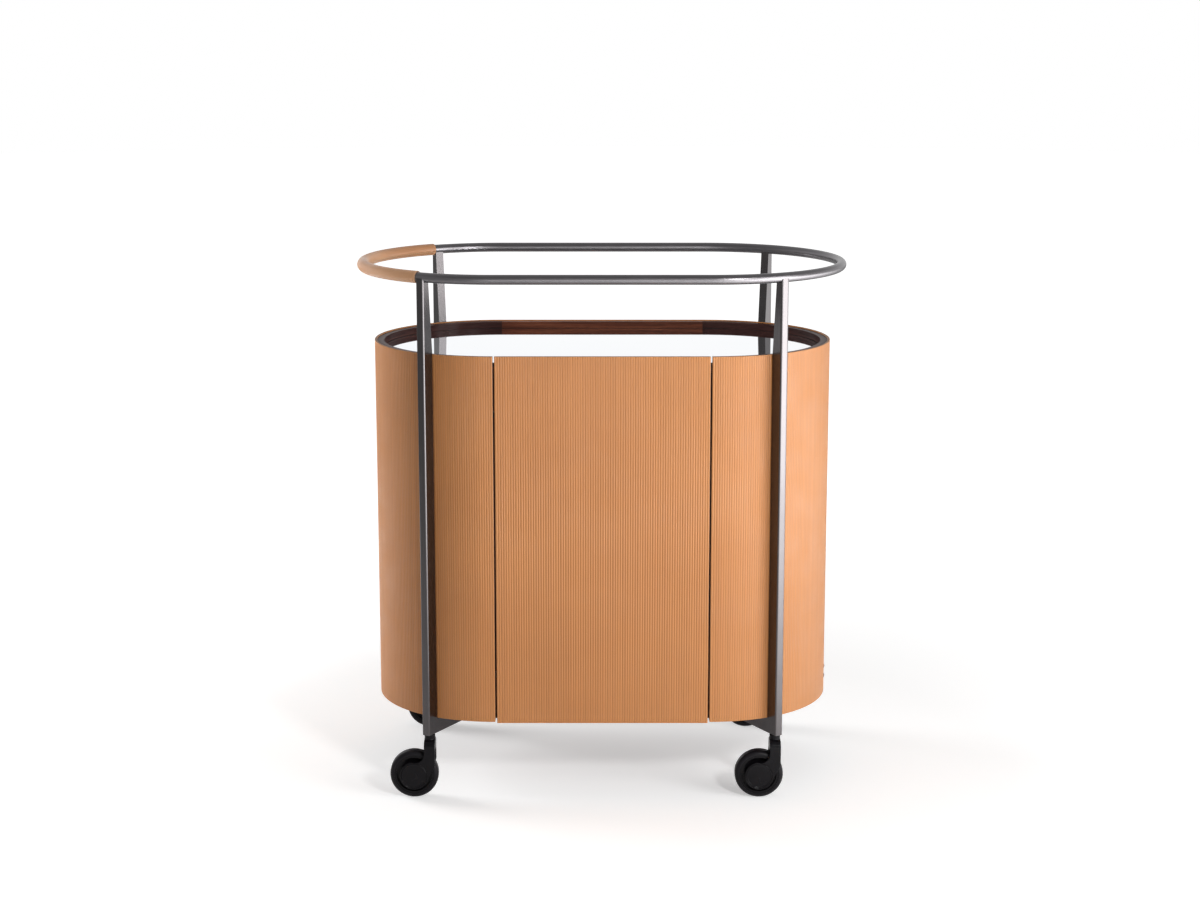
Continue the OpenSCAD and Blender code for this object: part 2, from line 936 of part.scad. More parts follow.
module fork(side, face) {
    color(castor_black)
        at_castor(side, face)
            difference() {
                union() {
                    intersection() {
                        rotate([90, 0, 0])
                            linear_extrude(2 * fork_half + bleed, center = true)
                                fork_side();
                        translate([-wheel_d, 0, 0])
                            rotate([90, 0, 90])
                                linear_extrude(2 * wheel_d)
                                    fork_front();
                    }
                    translate([0, 0, slot_top_z + bleed])
                        cylinder(r = neck_r, h = fork_top_z - slot_top_z - bleed);
                }
                translate([0, 0, stem_foot_z - moving_gap])
                    cylinder(r = stem_d / 2 + running_fit + bush_t, h = castor_h - stem_foot_z + bleed);
                translate([-trail, 0, wheel_r]) {
                    bar_y(2 * fork_half + bleed, axle_d / 2 + running_fit);
                    for (end = [-1, 1])
                        translate([0, end * fork_half, 0])
                            bar_y(2 * cap_t, hub_r - cap_ring + seat_gap);
                }
            }
}

module fork_front_left() {
    fork(LEFT, FRONT);
}

module fork_front_right() {
    fork(RIGHT, FRONT);
}

module fork_back_left() {
    fork(LEFT, BACK);
}

module fork_back_right() {
    fork(RIGHT, BACK);
}

module bush(side, face) {
    color(top_white)
        at_castor(side, face)
            translate([0, 0, stem_foot_z])
                difference() {
                    cylinder(r = stem_d / 2 + bush_t, h = fork_top_z - stem_foot_z);
                    translate([0, 0, -bleed])
                        cylinder(r = stem_d / 2 + running_fit, h = castor_h - stem_foot_z + 2 * bleed);
                }
}

module bush_front_left() {
    bush(LEFT, FRONT);
}

module bush_front_right() {
    bush(RIGHT, FRONT);
}

module bush_back_left() {
    bush(LEFT, BACK);
}

module bush_back_right() {
    bush(RIGHT, BACK);
}

// Puts its children at the middle of a castor's wheel
module at_wheel(side, face) {
    at_castor(side, face)
        translate([-trail, 0, wheel_r])
            children();
}

module axle(side, face) {
    color(bright_metal)
        at_wheel(side, face)
            bar_y(2 * (fork_half - cap_t), axle_d / 2);
}

module axle_front_left() {
    axle(LEFT, FRONT);
}

module axle_front_right() {
    axle(RIGHT, FRONT);
}

module axle_back_left() {
    axle(LEFT, BACK);
}

module axle_back_right() {
    axle(RIGHT, BACK);
}

module caps(side, face) {
    color(castor_black)
        at_wheel(side, face)
            for (end = [-1, 1])
                translate([0, end * (fork_half - cap_t / 2), 0])
                    bar_y(cap_t, hub_r - cap_ring);
}

module caps_front_left() {
    caps(LEFT, FRONT);
}

module caps_front_right() {
    caps(RIGHT, FRONT);
}

module caps_back_left() {
    caps(LEFT, BACK);
}

module caps_back_right() {
    caps(RIGHT, BACK);
}

// Wheel body: a hub, a thin web and the rim under the tyre
module wheel(side, face) {
    rim_r = wheel_r - tyre_t;
    hub_half = (wheel_w + fork_gap) / 2;
    bore_r = axle_d / 2 + running_fit;
    color(castor_black)
        at_wheel(side, face)
            rotate([90, 0, 0])
                rotate_extrude() {
                    translate([bore_r, -hub_half])
                        square([wheel_hub_t, 2 * hub_half]);
                    translate([bore_r + wheel_hub_t / 2, -wheel_web_t / 2])
                        square([rim_r - bore_r - wheel_hub_t / 2, wheel_web_t]);
                    translate([rim_r - wheel_rim_t, rim_inset - wheel_w / 2])
                        square([wheel_rim_t, wheel_w - 2 * rim_inset]);
                }
}

module wheel_front_left() {
    wheel(LEFT, FRONT);
}

module wheel_front_right() {
    wheel(RIGHT, FRONT);
}

module wheel_back_left() {
    wheel(LEFT, BACK);
}

module wheel_back_right() {
    wheel(RIGHT, BACK);
}

module tyre(side, face) {
    flat_half = wheel_w / 2 - tyre_shoulder;
    inner = wheel_r - tyre_t;
    color(rubber_black)
        at_wheel(side, face)
            rotate([90, 0, 0])
                rotate_extrude()
                    difference() {
                        union() {
                            translate([inner - bleed, -flat_half])
                                square([tyre_t + bleed, 2 * flat_half]);
                            translate([inner - bleed, -wheel_w / 2])
                                square([tyre_t - tyre_shoulder + bleed, wheel_w]);
                            for (end = [-1, 1])
                                translate([wheel_r - tyre_shoulder, end * flat_half])
                                    circle(r = tyre_shoulder);
                        }
                        translate([0, -wheel_w])
                            square([inner, 2 * wheel_w]);
                    }
}

module tyre_front_left() {
    tyre(LEFT, FRONT);
}

module tyre_front_right() {
    tyre(RIGHT, FRONT);
}

module tyre_back_left() {
    tyre(LEFT, BACK);
}

module tyre_back_right() {
    tyre(RIGHT, BACK);
}

// ---------------------------------------------------------------- assembly

left_shell();
right_shell();
back_panel();
left_leather();
right_leather();
back_leather();
floor_board();
shelf();
top_board();
glass_top();
glass_seal();
left_stile();
right_stile();
back_cleats();
shelf_pins();
rail();
rail_leather();
post_front_left();
post_front_right();
post_back_left();
post_back_right();
post_bolts();
post_spacers();
arm_screws();
castor_stems();
hinge_arms();
catch_body();
catch_magnet();
fixing_screws();
door_buffers();
end_studs();
door_panel();
door_leather();
hinge_pins();
strike_plate();
fork_front_left();
fork_front_right();
fork_back_left();
fork_back_right();
bush_front_left();
bush_front_right();
bush_back_left();
bush_back_right();
axle_front_left();
axle_front_right();
axle_back_left();
axle_back_right();
caps_front_left();
caps_front_right();
caps_back_left();
caps_back_right();
wheel_front_left();
wheel_front_right();
wheel_back_left();
wheel_back_right();
tyre_front_left();
tyre_front_right();
tyre_back_left();
tyre_back_right();
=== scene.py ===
"""Looks of an oval serving trolley: ribbed saddle leather, walnut, gunmetal posts and black castors.

Metres, +Z up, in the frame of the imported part. The door faces -Y.
"""

import json
import logging
import math
from collections.abc import Callable, Iterable, Sequence
from dataclasses import dataclass, field
from enum import Enum

import bmesh
import bpy
from mathutils import Matrix, Vector

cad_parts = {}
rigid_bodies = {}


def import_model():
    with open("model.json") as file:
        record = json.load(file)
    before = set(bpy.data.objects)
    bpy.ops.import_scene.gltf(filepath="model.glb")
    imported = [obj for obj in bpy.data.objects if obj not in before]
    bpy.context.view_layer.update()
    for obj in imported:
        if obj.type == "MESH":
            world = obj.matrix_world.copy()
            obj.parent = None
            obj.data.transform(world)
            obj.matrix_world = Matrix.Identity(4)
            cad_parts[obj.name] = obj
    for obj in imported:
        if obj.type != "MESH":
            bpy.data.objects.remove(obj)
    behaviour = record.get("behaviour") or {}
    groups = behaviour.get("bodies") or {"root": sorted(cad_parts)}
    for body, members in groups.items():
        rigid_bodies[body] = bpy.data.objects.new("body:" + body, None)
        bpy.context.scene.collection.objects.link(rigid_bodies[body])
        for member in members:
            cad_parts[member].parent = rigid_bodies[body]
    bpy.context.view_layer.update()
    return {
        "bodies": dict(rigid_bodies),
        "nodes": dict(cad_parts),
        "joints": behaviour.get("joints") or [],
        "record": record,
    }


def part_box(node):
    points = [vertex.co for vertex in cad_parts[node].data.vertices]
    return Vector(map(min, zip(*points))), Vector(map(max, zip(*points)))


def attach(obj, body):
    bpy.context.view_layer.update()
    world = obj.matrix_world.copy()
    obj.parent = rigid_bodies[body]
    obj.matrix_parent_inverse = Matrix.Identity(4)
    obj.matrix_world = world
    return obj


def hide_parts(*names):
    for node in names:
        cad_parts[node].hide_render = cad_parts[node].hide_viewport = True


LOG = logging.getLogger("trolley")
MM = 0.001

# Points nearer than MERGE are one. The angles between faces, in degrees: up to FLAT they are one flat face,
# above SHARP the edge is shaded sharp, and above EASED a round takes the place of the edge.
MERGE = 1e-6
FLAT = 0.5
SHARP = 32.0
EASED = 38.0

Colour = tuple[float, float, float]
Range = tuple[float, float]
Material = bpy.types.Material
Mesh = bpy.types.Mesh
Socket = bpy.types.NodeSocket


class End(Enum):
    """The two round ends of the body, by the sign of their X."""

    LEFT = -1
    RIGHT = 1


class Face(Enum):
    """The front and the back of the body, by the sign of their Y."""

    FRONT = -1
    BACK = 1


class Grain(Enum):
    """How the grain of a wooden piece runs."""

    ALONG_X = "along the length"
    ROUND_END = "round the curved end"
    UPRIGHT = "upright"


class Brush(Enum):
    """The direction in which a metal piece is brushed, by the scale of its streaks along each axis."""

    UPRIGHT = (1500, 1500, 14)
    ALONG_RAIL = (18, 1400, 1400)
    FREE = (500, 500, 500)


@dataclass(frozen=True)
class Corner:
    """One of the four corners with a post and a castor."""

    face: Face
    end: End

    @property
    def name(self) -> str:
        """The corner's part of a node's name."""
        return f"{self.face.name.lower()}_{self.end.name.lower()}"


CORNERS = [Corner(face, end) for face in Face for end in End]


# ------------------------------------------------------------------ node trees


class Graph:
    """Short-hand for adding and linking the nodes of one tree."""

    def __init__(self, tree: bpy.types.NodeTree) -> None:
        """Takes a tree.

        Args:
            tree: The tree that the nodes go into.
        """
        self.tree = tree

    def add(self, kind: str, inputs: dict | None = None, **settings: object) -> bpy.types.Node:
        """Adds one node.

        Args:
            kind: The node's type name.
            inputs: Values by input name or index; a socket or a node is linked, anything else is set.
            settings: Properties of the node.

        Returns:
            The new node.
        """
        node = self.tree.nodes.new(kind)
        for key, value in settings.items():
            setattr(node, key, value)
        for key, value in (inputs or {}).items():
            if isinstance(value, bpy.types.Node):
                value = value.outputs[0]
            if isinstance(value, Socket):
                self.tree.links.new(value, node.inputs[key])
            else:
                node.inputs[key].default_value = value
        return node

    def math(self, operation: str, *terms: object) -> Socket:
        """The result of one math node on the given terms."""
        return self.add("ShaderNodeMath", dict(enumerate(terms)), operation=operation).outputs[0]

    def times(self, one: object, two: object) -> Socket:
        """The product of two terms."""
        return self.math("MULTIPLY", one, two)

    def span(self, value: object, old: Range, new: Range = (0, 1)) -> Socket:
        """The value, carried over from an old range to a new one."""
        ends = dict(zip(("From Min", "From Max", "To Min", "To Max"), (*old, *new)))
        return self.add("ShaderNodeMapRange", {"Value": value, **ends}).outputs[0]

    def vector(self, operation: str, *terms: object) -> Socket:
        """The result of one vector math node on the given terms."""
        node = self.add("ShaderNodeVectorMath", dict(enumerate(terms)), operation=operation)
        return node.outputs["Value" if operation == "DOT_PRODUCT" else "Vector"]


def linked(name: str, data: bpy.types.ID) -> bpy.types.Object:
    """Puts a new object into the scene.

    Args:
        name: The object's name.
        data: Its mesh, curve, lamp or camera.

    Returns:
        The object.
    """
    thing = bpy.data.objects.new(name, data)
    bpy.context.scene.collection.objects.link(thing)
    return thing


def evaluated(carrier: bpy.types.Object) -> Mesh:
    """Takes the mesh that an object's modifiers give, and removes the object.

    Args:
        carrier: The object with the modifiers.

    Returns:
        The plain mesh.
    """
    bpy.context.view_layer.update()
    graph = bpy.context.evaluated_depsgraph_get()
    mesh = bpy.data.meshes.new_from_object(carrier.evaluated_get(graph))
    for modifier in list(carrier.modifiers):
        carrier.modifiers.remove(modifier)
    bpy.data.objects.remove(carrier)
    return mesh


class Recipe(Graph):
    """A Geometry Nodes tree with named inputs, and the piece that it makes from an object."""

    KINDS = {
        float: "NodeSocketFloat",
        int: "NodeSocketInt",
        "material": "NodeSocketMaterial",
        "object": "NodeSocketObject",
    }

    def __init__(self, name: str, inputs: dict[str, object]) -> None:
        """Starts a tree with its inputs and its output.

        Args:
            name: The tree's name.
            inputs: The kind of each named input after the geometry.
        """
        super().__init__(bpy.data.node_groups.new(name, "GeometryNodeTree"))
        face = self.tree.interface
        face.new_socket("Geometry", in_out="INPUT", socket_type="NodeSocketGeometry")
        face.new_socket("Geometry", in_out="OUTPUT", socket_type="NodeSocketGeometry")
        self.sockets = {
            label: face.new_socket(label, in_out="INPUT", socket_type=self.KINDS[kind]).identifier
            for label, kind in inputs.items()
        }
        self.input = self.add("NodeGroupInput").outputs
        self.output = self.add("NodeGroupOutput")

    def store(self, geometry: object, name: str, value: object, kind: str) -> bpy.types.Node:
        """Stores a value on the points of a geometry under a name."""
        inputs = {"Geometry": geometry, "Name": name, "Value": value}
        return self.add("GeometryNodeStoreNamedAttribute", inputs, data_type=kind, domain="POINT")

    def read(self, name: str, kind: str) -> bpy.types.Node:
        """Reads a stored value by its name."""
        return self.add("GeometryNodeInputNamedAttribute", {"Name": name}, data_type=kind)

    def chance(self, low: float, high: float, seed: int, number: object | None = None) -> Socket:
        """A random value from a fixed seed.

        Args:
            low: Its lower limit.
            high: Its upper limit.
            seed: The seed.
            number: What the draw goes by, if not by the point.

        Returns:
            The value.
        """
        inputs = {"Min": low, "Max": high, "Seed": seed}
        if number is not None:
            inputs["ID"] = number
        return self.add("FunctionNodeRandomValue", inputs, data_type="FLOAT").outputs["Value"]

    def close(self, geometry: object, *finishes: tuple[object, object]) -> None:
        """Ends the tree in Realize Instances and Set Material.

        Args:
            geometry: The last geometry.
            finishes: Pairs of a material and the selection that takes it; None takes everything.
        """
        last = self.add("GeometryNodeRealizeInstances", {"Geometry": geometry})
        for material, selection in finishes:
            inputs = {"Geometry": last, "Material": material}
            if selection is not None:
                inputs["Selection"] = selection
            last = self.add("GeometryNodeSetMaterial", inputs)
        self.tree.links.new(last.outputs[0], self.output.inputs[0])

    def bake(self, source: bpy.types.Object, values: dict[str, object]) -> Mesh:
        """Runs the tree on an object and removes that object.

        Args:
            source: The object that carries the path or points.
            values: A value for each named input.

        Returns:
            The plain mesh.
        """
        modifier = source.modifiers.new(self.tree.name, "NODES")
        modifier.node_group = self.tree
        for label, value in values.items():
            modifier[self.sockets[label]] = value
        return evaluated(source)


# ------------------------------------------------------------------ finishes


class Shader(Graph):
    """A material's tree with its Principled shader."""

    def __init__(self, name: str, **values: object) -> None:
        """Starts a material.

        Args:
            name: The material's name.
            values: Constants for the shader's own sockets, with _ for a space.
        """
        self.material = bpy.data.materials.new(name)
        self.material.use_nodes = True
        super().__init__(self.material.node_tree)
        self.surface = self.tree.nodes["Principled BSDF"]
        for key, value in values.items():
            self.surface.inputs[key.replace("_", " ")].default_value = value
        self.place = self.add("ShaderNodeTexCoord").outputs["Object"]

    def feed(self, **sockets: object) -> None:
        """Links sockets to the shader's inputs."""
        for key, socket in sockets.items():
            self.tree.links.new(socket, self.surface.inputs[key.replace("_", " ")])

    def stretched(self, scale: Sequence[float], place: object | None = None) -> Socket:
        """The coordinates, multiplied along each axis."""
        return self.vector("MULTIPLY", self.place if place is None else place, tuple(scale))

    def noise(self, place: object, scale: float, detail: float = 4, twist: float = 0) -> Socket:
        """A noise pattern of the given scale, detail and distortion."""
        inputs = {"Vector": place, "Scale": scale, "Detail": detail, "Distortion": twist}
        return self.add("ShaderNodeTexNoise", inputs).outputs["Fac"]

    def ramp(self, value: object, stops: Sequence[tuple[float, Colour | float]]) -> Socket:
        """Colours between stops.

        Args:
            value: The value that is looked up.
            stops: Pairs of a position and a colour, or of a position and a grey.

        Returns:
            The colour.
        """
        node = self.add("ShaderNodeValToRGB", {0: value})
        elements = node.color_ramp.elements
        while len(elements) < len(stops):
            elements.new(0.5)
        for element, (place, colour) in zip(elements, stops):
            element.position = place
            tone = (colour,) * 3 if isinstance(colour, (int, float)) else colour
            element.color = (*tone, 1)
        return node.outputs[0]

    def mix(self, share: object, first: object, second: object) -> Socket:
        """Mixes two colours.

        Args:
            share: The second colour's share.
            first: A colour or a socket.
            second: A colour or a socket.

        Returns:
            The mixed colour.
        """
        node = self.add("ShaderNodeMix", {0: share}, data_type="RGBA")
        for socket, value in ((node.inputs[6], first), (node.inputs[7], second)):
            if isinstance(value, Socket):
                self.tree.links.new(value, socket)
            else:
                socket.default_value = (*value, 1)
        return node.outputs[2]

    def bump(self, height: object, strength: float, distance: float) -> Socket:
        """A bump normal from a height."""
        inputs = {"Height": height, "Strength": strength, "Distance": distance}
        return self.add("ShaderNodeBump", inputs).outputs["Normal"]


def deeper(colour: Colour, share: float) -> Colour:
    """A colour with only a share of its brightness."""
    return tuple(share * part for part in colour)


@dataclass(frozen=True)
class LeatherFinish:
    """Vegetable-tanned saddle leather."""

    name: str
    base: Colour
    light: Colour
    dark: Colour
    roughness: float = 0.43
    ribbed: bool = True
    pore_scale: float = 950
    fleck_share: float = 0.15
    # How strongly painted shade darkens the grooves between the ribs.
    groove_shade_share: float = 0.36
    tint_share: float = 0.15

    def make(self) -> Material:
        """Builds the material: mottled tan with painted shade in the grooves between the ribs, fine pores and
        creases.

        Returns:
            The material.
        """
        s = Shader(self.name, Specular_IOR_Level=0.42, Sheen_Weight=0.10, Sheen_Roughness=0.35,
                   Coat_Weight=0.12, Coat_Roughness=0.34)
        cloud = s.noise(s.place, 4.5, 3, 0.3)
        tone = s.ramp(cloud, ((0.3, self.dark), (0.5, self.base), (0.72, self.light)))
        fleck = s.noise(s.stretched((1, 1, 0.35)), 260, 3)
        tone = s.mix(s.times(fleck, self.fleck_share), tone, self.dark)
        cells = {"Vector": s.place, "Scale": self.pore_scale}
        pores = s.add("ShaderNodeTexVoronoi", cells, feature="DISTANCE_TO_EDGE").outputs[0]
        crease = s.noise(s.place, 420, 6, 0.6)
        if self.ribbed:
            rib, tint = (s.add("ShaderNodeAttribute", attribute_name=name) for name in ("rib", "tint"))
            # Painted shade: the colour darkens towards the bottom of each groove, where shade would fall
            # between the ribs.
            painted_groove_shade = s.ramp(rib.outputs["Fac"], ((0.0, 1.0), (0.45, 0.3), (0.8, 0.0)))
            tone = s.mix(s.times(painted_groove_shade, self.groove_shade_share), tone, deeper(self.dark, 0.50))
            tone = s.mix(s.times(tint.outputs["Fac"], self.tint_share), tone, deeper(self.dark, 0.55))
        grain = s.math("ADD", s.times(pores, 0.6), crease)
        wear = s.ramp(s.noise(s.place, 22, 4), ((0.35, self.roughness - 0.07), (0.7, self.roughness + 0.08)))
        s.feed(Base_Color=tone, Roughness=wear, Normal=s.bump(grain, 0.22, 0.12 * MM))
        return s.material


@dataclass(frozen=True)
class CutEdgeFinish:
    """The burnished edge where leather is cut."""

    name: str = "Cut leather edge"
    base: Colour = (0.34, 0.20, 0.13)

    def make(self) -> Material:
        """Builds the material: waxed fibres with fine fuzz.

        Returns:
            The material.
        """
        s = Shader(self.name, Roughness=0.6, Specular_IOR_Level=0.3)
        fibre = s.noise(s.stretched((1, 1, 0.3)), 900, 4)
        tone = s.ramp(fibre, ((0.3, deeper(self.base, 0.72)), (0.65, self.base)))
        s.feed(Base_Color=tone, Normal=s.bump(fibre, 0.4, 0.1 * MM))
        return s.material


@dataclass(frozen=True)
class WoodFinish:
    """Satin-lacquered walnut veneer."""

    name: str
    dark: Colour
    base: Colour
    light: Colour
    grain: Grain
    end_centre: float = 0.0
    coat: float = 0.14
    gloss: float = 0.08
    round_scale: float = 0.2

    def along(self, s: Shader) -> Socket:
        """Coordinates whose X runs with the grain: for a round end, the way round it.

        Args:
            s: The shader's tree.

        Returns:
            The coordinates.
        """
        if self.grain is Grain.ALONG_X:
            return s.place
        parts = s.add("ShaderNodeSeparateXYZ", {0: s.place}).outputs
        if self.grain is Grain.UPRIGHT:
            order = {0: parts[2], 1: parts[1], 2: parts[0]}
            return s.add("ShaderNodeCombineXYZ", order).outputs[0]
        outward = s.math("SUBTRACT", s.math("ABSOLUTE", parts[0]), self.end_centre)
        round_way = s.times(s.math("ARCTAN2", parts[1], outward), self.round_scale)
        far = s.math("SQRT", s.math("ADD", s.times(outward, outward), s.times(parts[1], parts[1])))
        return s.add("ShaderNodeCombineXYZ", {0: round_way, 1: far, 2: parts[2]}).outputs[0]

    def make(self) -> Material:
        """Builds the material: stretched figure, darker growth lines, fine pores under a satin coat.

        Returns:
            The material.
        """
        s = Shader(self.name, Specular_IOR_Level=self.gloss, Coat_Weight=self.coat, Coat_Roughness=0.16)
        place = self.along(s)
        figure = s.noise(s.stretched((2.2, 14, 26), place), 1.6, 6, 1.1)
        lines = s.noise(s.stretched((3, 60, 120), place), 1.5, 5, 0.5)
        pores = s.noise(s.stretched((45, 900, 900), place), 1.2, 3)
        tone = s.ramp(figure, ((0.28, self.dark), (0.5, self.base), (0.74, self.light)))
        tone = s.mix(s.ramp(lines, ((0.42, 0.0), (0.62, 0.7))), tone, self.dark)
        holes = s.ramp(pores, ((0.55, 0.0), (0.68, 1.0)))
        tone = s.mix(s.times(holes, 0.5), tone, deeper(self.dark, 0.4))
        rough = s.ramp(lines, ((0.3, 0.34), (0.7, 0.46)))
        s.feed(Base_Color=tone, Roughness=rough, Normal=s.bump(holes, -0.25, 0.05 * MM))
        return s.material


@dataclass(frozen=True)
class MetalFinish:
    """Brushed metal, dark or bright."""

    name: str
    base: Colour
    roughness: float
    brush: Brush = Brush.FREE

    def make(self) -> Material:
        """Builds the material: fine brushing along one direction, with faint cloudy wear.

        Returns:
            The material.
        """
        s = Shader(self.name, Metallic=1.0)
        streak = s.noise(s.stretched(self.brush.value), 1, 3)
        cloud = s.noise(s.place, 30, 4)
        brushed = s.ramp(streak, ((0.3, self.roughness - 0.04), (0.7, self.roughness + 0.02)))
        rough = s.math("ADD", brushed, s.times(cloud, 0.04))
        worn = s.math("ADD", s.times(streak, 0.6), s.times(cloud, 0.4))
        tone = s.ramp(worn, ((0.35, deeper(self.base, 0.88)), (0.65, self.base)))
        s.feed(Base_Color=tone, Roughness=rough, Normal=s.bump(streak, 0.03, 0.02 * MM))
        return s.material


@dataclass(frozen=True)
class PlasticFinish:
    """Moulded plastic, rubber or waxed thread."""

    name: str
    base: Colour
    roughness: float
    texture: float = 0.06
    scale: float = 1200
    gloss: float = 0.5

    def make(self) -> Material:
        """Builds the material: an even colour with a fine moulded texture and handling marks.

        Returns:
            The material.
        """
        s = Shader(self.name, Specular_IOR_Level=self.gloss)
        skin = s.noise(s.place, self.scale, 4)
        marks = s.noise(s.place, 45, 5, 0.8)
        tone = s.ramp(marks, ((0.3, deeper(self.base, 0.75)), (0.6, self.base)))
        rough = s.ramp(marks, ((0.35, self.roughness - 0.05), (0.7, min(self.roughness + 0.1, 1.0))))
        s.feed(Base_Color=tone, Roughness=rough, Normal=s.bump(skin, self.texture, 0.1 * MM))
        return s.material


@dataclass(frozen=True)
class MirrorGlassFinish:
    """Polished glass, silvered on its underside."""

    name: str = "Silvered glass"
    base: Colour = (0.93, 0.945, 0.965)
    cooling: Colour = (0.97, 0.985, 1.0)

    def make(self) -> Material:
        """Builds the material: a clear mirror with a faint cool tint and a few wiping marks.

        Returns:
            The material.
        """
        s = Shader(self.name, Metallic=1.0)
        wipes = s.noise(s.stretched((1, 3, 1)), 7, 4, 0.6)
        cool = tuple(part * share for part, share in zip(self.base, self.cooling))
        tone = s.ramp(s.noise(s.place, 2.5, 2), ((0.35, self.base), (0.65, cool)))
        s.feed(Base_Color=tone, Roughness=s.ramp(wipes, ((0.4, 0.012), (0.75, 0.035))))
        return s.material


class Finishes:
    """All the materials of the trolley, made once."""

    def __init__(self, end_centre: float) -> None:
        """Makes every material.

        Args:
            end_centre: Distance of each round end's centre from the middle.
        """
        tan, saddle, plum, warm = (dict(zip(("dark", "base", "light"), tones)) for tones in (
            ((0.566, 0.231, 0.075), (0.600, 0.248, 0.082), (0.630, 0.266, 0.091)),
            ((0.500, 0.235, 0.108), (0.620, 0.315, 0.158), (0.700, 0.385, 0.205)),
            ((0.026, 0.011, 0.010), (0.062, 0.026, 0.023), (0.100, 0.046, 0.038)),
            ((0.050, 0.014, 0.008), (0.146, 0.042, 0.021), (0.215, 0.070, 0.034))))
        around = {"grain": Grain.ROUND_END, "end_centre": end_centre, "coat": 0.1, "gloss": 0.02}
        self.tan = LeatherFinish("Ribbed tan leather", **tan).make()
        self.sleeve = LeatherFinish("Sleeve leather", ribbed=False, roughness=0.42, **saddle).make()
        self.edge = CutEdgeFinish().make()
        self.wood_end = WoodFinish("Walnut round the ends", **around, **plum).make()
        self.wood_back = WoodFinish("Walnut along the back", grain=Grain.ALONG_X, **warm).make()
        self.wood_upright = WoodFinish("Upright walnut", grain=Grain.UPRIGHT, **warm).make()
        self.post_metal = MetalFinish("Gunmetal flat bar", (0.105, 0.098, 0.100), 0.22, Brush.UPRIGHT).make()
        self.rail_metal = MetalFinish("Gunmetal tube", (0.185, 0.176, 0.184), 0.31, Brush.ALONG_RAIL).make()
        self.steel = MetalFinish("Bright steel", (0.62, 0.62, 0.63), 0.26).make()
        self.castor = PlasticFinish("Castor plastic", (0.0062, 0.0054, 0.0068), 0.20, gloss=0.14).make()
        self.tyre = PlasticFinish("Tyre rubber", (0.0095, 0.0082, 0.0104), 0.40, 0.12, gloss=0.17).make()
        self.rubber = PlasticFinish("Black rubber", (0.018, 0.018, 0.018), 0.55, 0.12).make()
        self.black = PlasticFinish("Black plastic", (0.022, 0.022, 0.022), 0.40).make()
        self.thread = PlasticFinish("Waxed thread", (0.66, 0.50, 0.32), 0.6, 0.5, 2600).make()
        self.glass = MirrorGlassFinish().make()


# ------------------------------------------------------------------ mesh helpers


def shade(mesh: Mesh, angle: float = SHARP) -> None:
    """Shades a mesh smooth with sharp edges above an angle in degrees."""
    mesh.shade_smooth()
    mesh.set_sharp_from_angle(angle=math.radians(angle))


def add_piece(name: str, mesh: Mesh, body: str, replaces: Iterable[str] = (),
              materials: Iterable[Material] = (), angle: float | None = SHARP) -> bpy.types.Object:
    """Adds a finished piece to the scene.

    Args:
        name: The piece's name.
        mesh: Its mesh, in place.
        body: The body that it moves with.
        replaces: The nodes that it stands for.
        materials: Its materials, unless the mesh has them.
        angle: Edges above this angle in degrees stay sharp; None keeps the mesh's own shading.

    Returns:
        The new object.
    """
    for material in materials:
        mesh.materials.append(material)
    if angle is not None:
        shade(mesh, angle)
    mesh.name = name
    piece = linked(name, mesh)
    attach(piece, body)
    replaced = list(replaces)
    if replaced:
        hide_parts(*replaced)
    LOG.info("%s: %d faces", name, len(mesh.polygons))
    return piece


def dress(frame: dict, node: str, material: Material) -> None:
    """Gives a carried-over node a material.

    Args:
        frame: The loaded frame.
        node: The node's name.
        material: The material.
    """
    target = frame["nodes"][node]
    if not target.material_slots:
        target.data.materials.append(material)
    for slot in target.material_slots:
        slot.material = material
    LOG.info("%s: dressed in %s", node, material.name)


def path_object(points: Sequence[Vector], closed: bool = False) -> bpy.types.Object:
    """A poly curve as an object for a recipe.

    Args:
        points: The points that it runs through.
        closed: Whether it ends where it starts.

    Returns:
        The object.
    """
    curve = bpy.data.curves.new("path", "CURVE")
    curve.dimensions = "3D"
    spline = curve.splines.new("POLY")
    spline.points.add(len(points) - 1)
    for point, place in zip(spline.points, points):
        point.co = (*place, 1)
    spline.use_cyclic_u = closed
    return linked("path", curve)


def arc(centre: Vector, radius: float, start: float, end: float, steps: int) -> list[Vector]:
    """Points on a level arc, by angles in degrees from +X.

    Args:
        centre: The arc's centre.
        radius: Its radius.
        start: The angle of the first point.
        end: The angle of the last point.
        steps: How many steps the arc takes.

    Returns:
        The points, both ends included.
    """
    angles = [math.radians(start + (end - start) * i / steps) for i in range(steps + 1)]
    return [centre + radius * Vector((math.cos(a), math.sin(a), 0)) for a in angles]


def poured(build: bmesh.types.BMesh, name: str) -> Mesh:
    """Turns what was built into a mesh, and frees it.

    Args:
        build: What was built.
        name: The mesh's name.

    Returns:
        The mesh.
    """
    mesh = bpy.data.meshes.new(name)
    build.to_mesh(mesh)
    build.free()
    return mesh


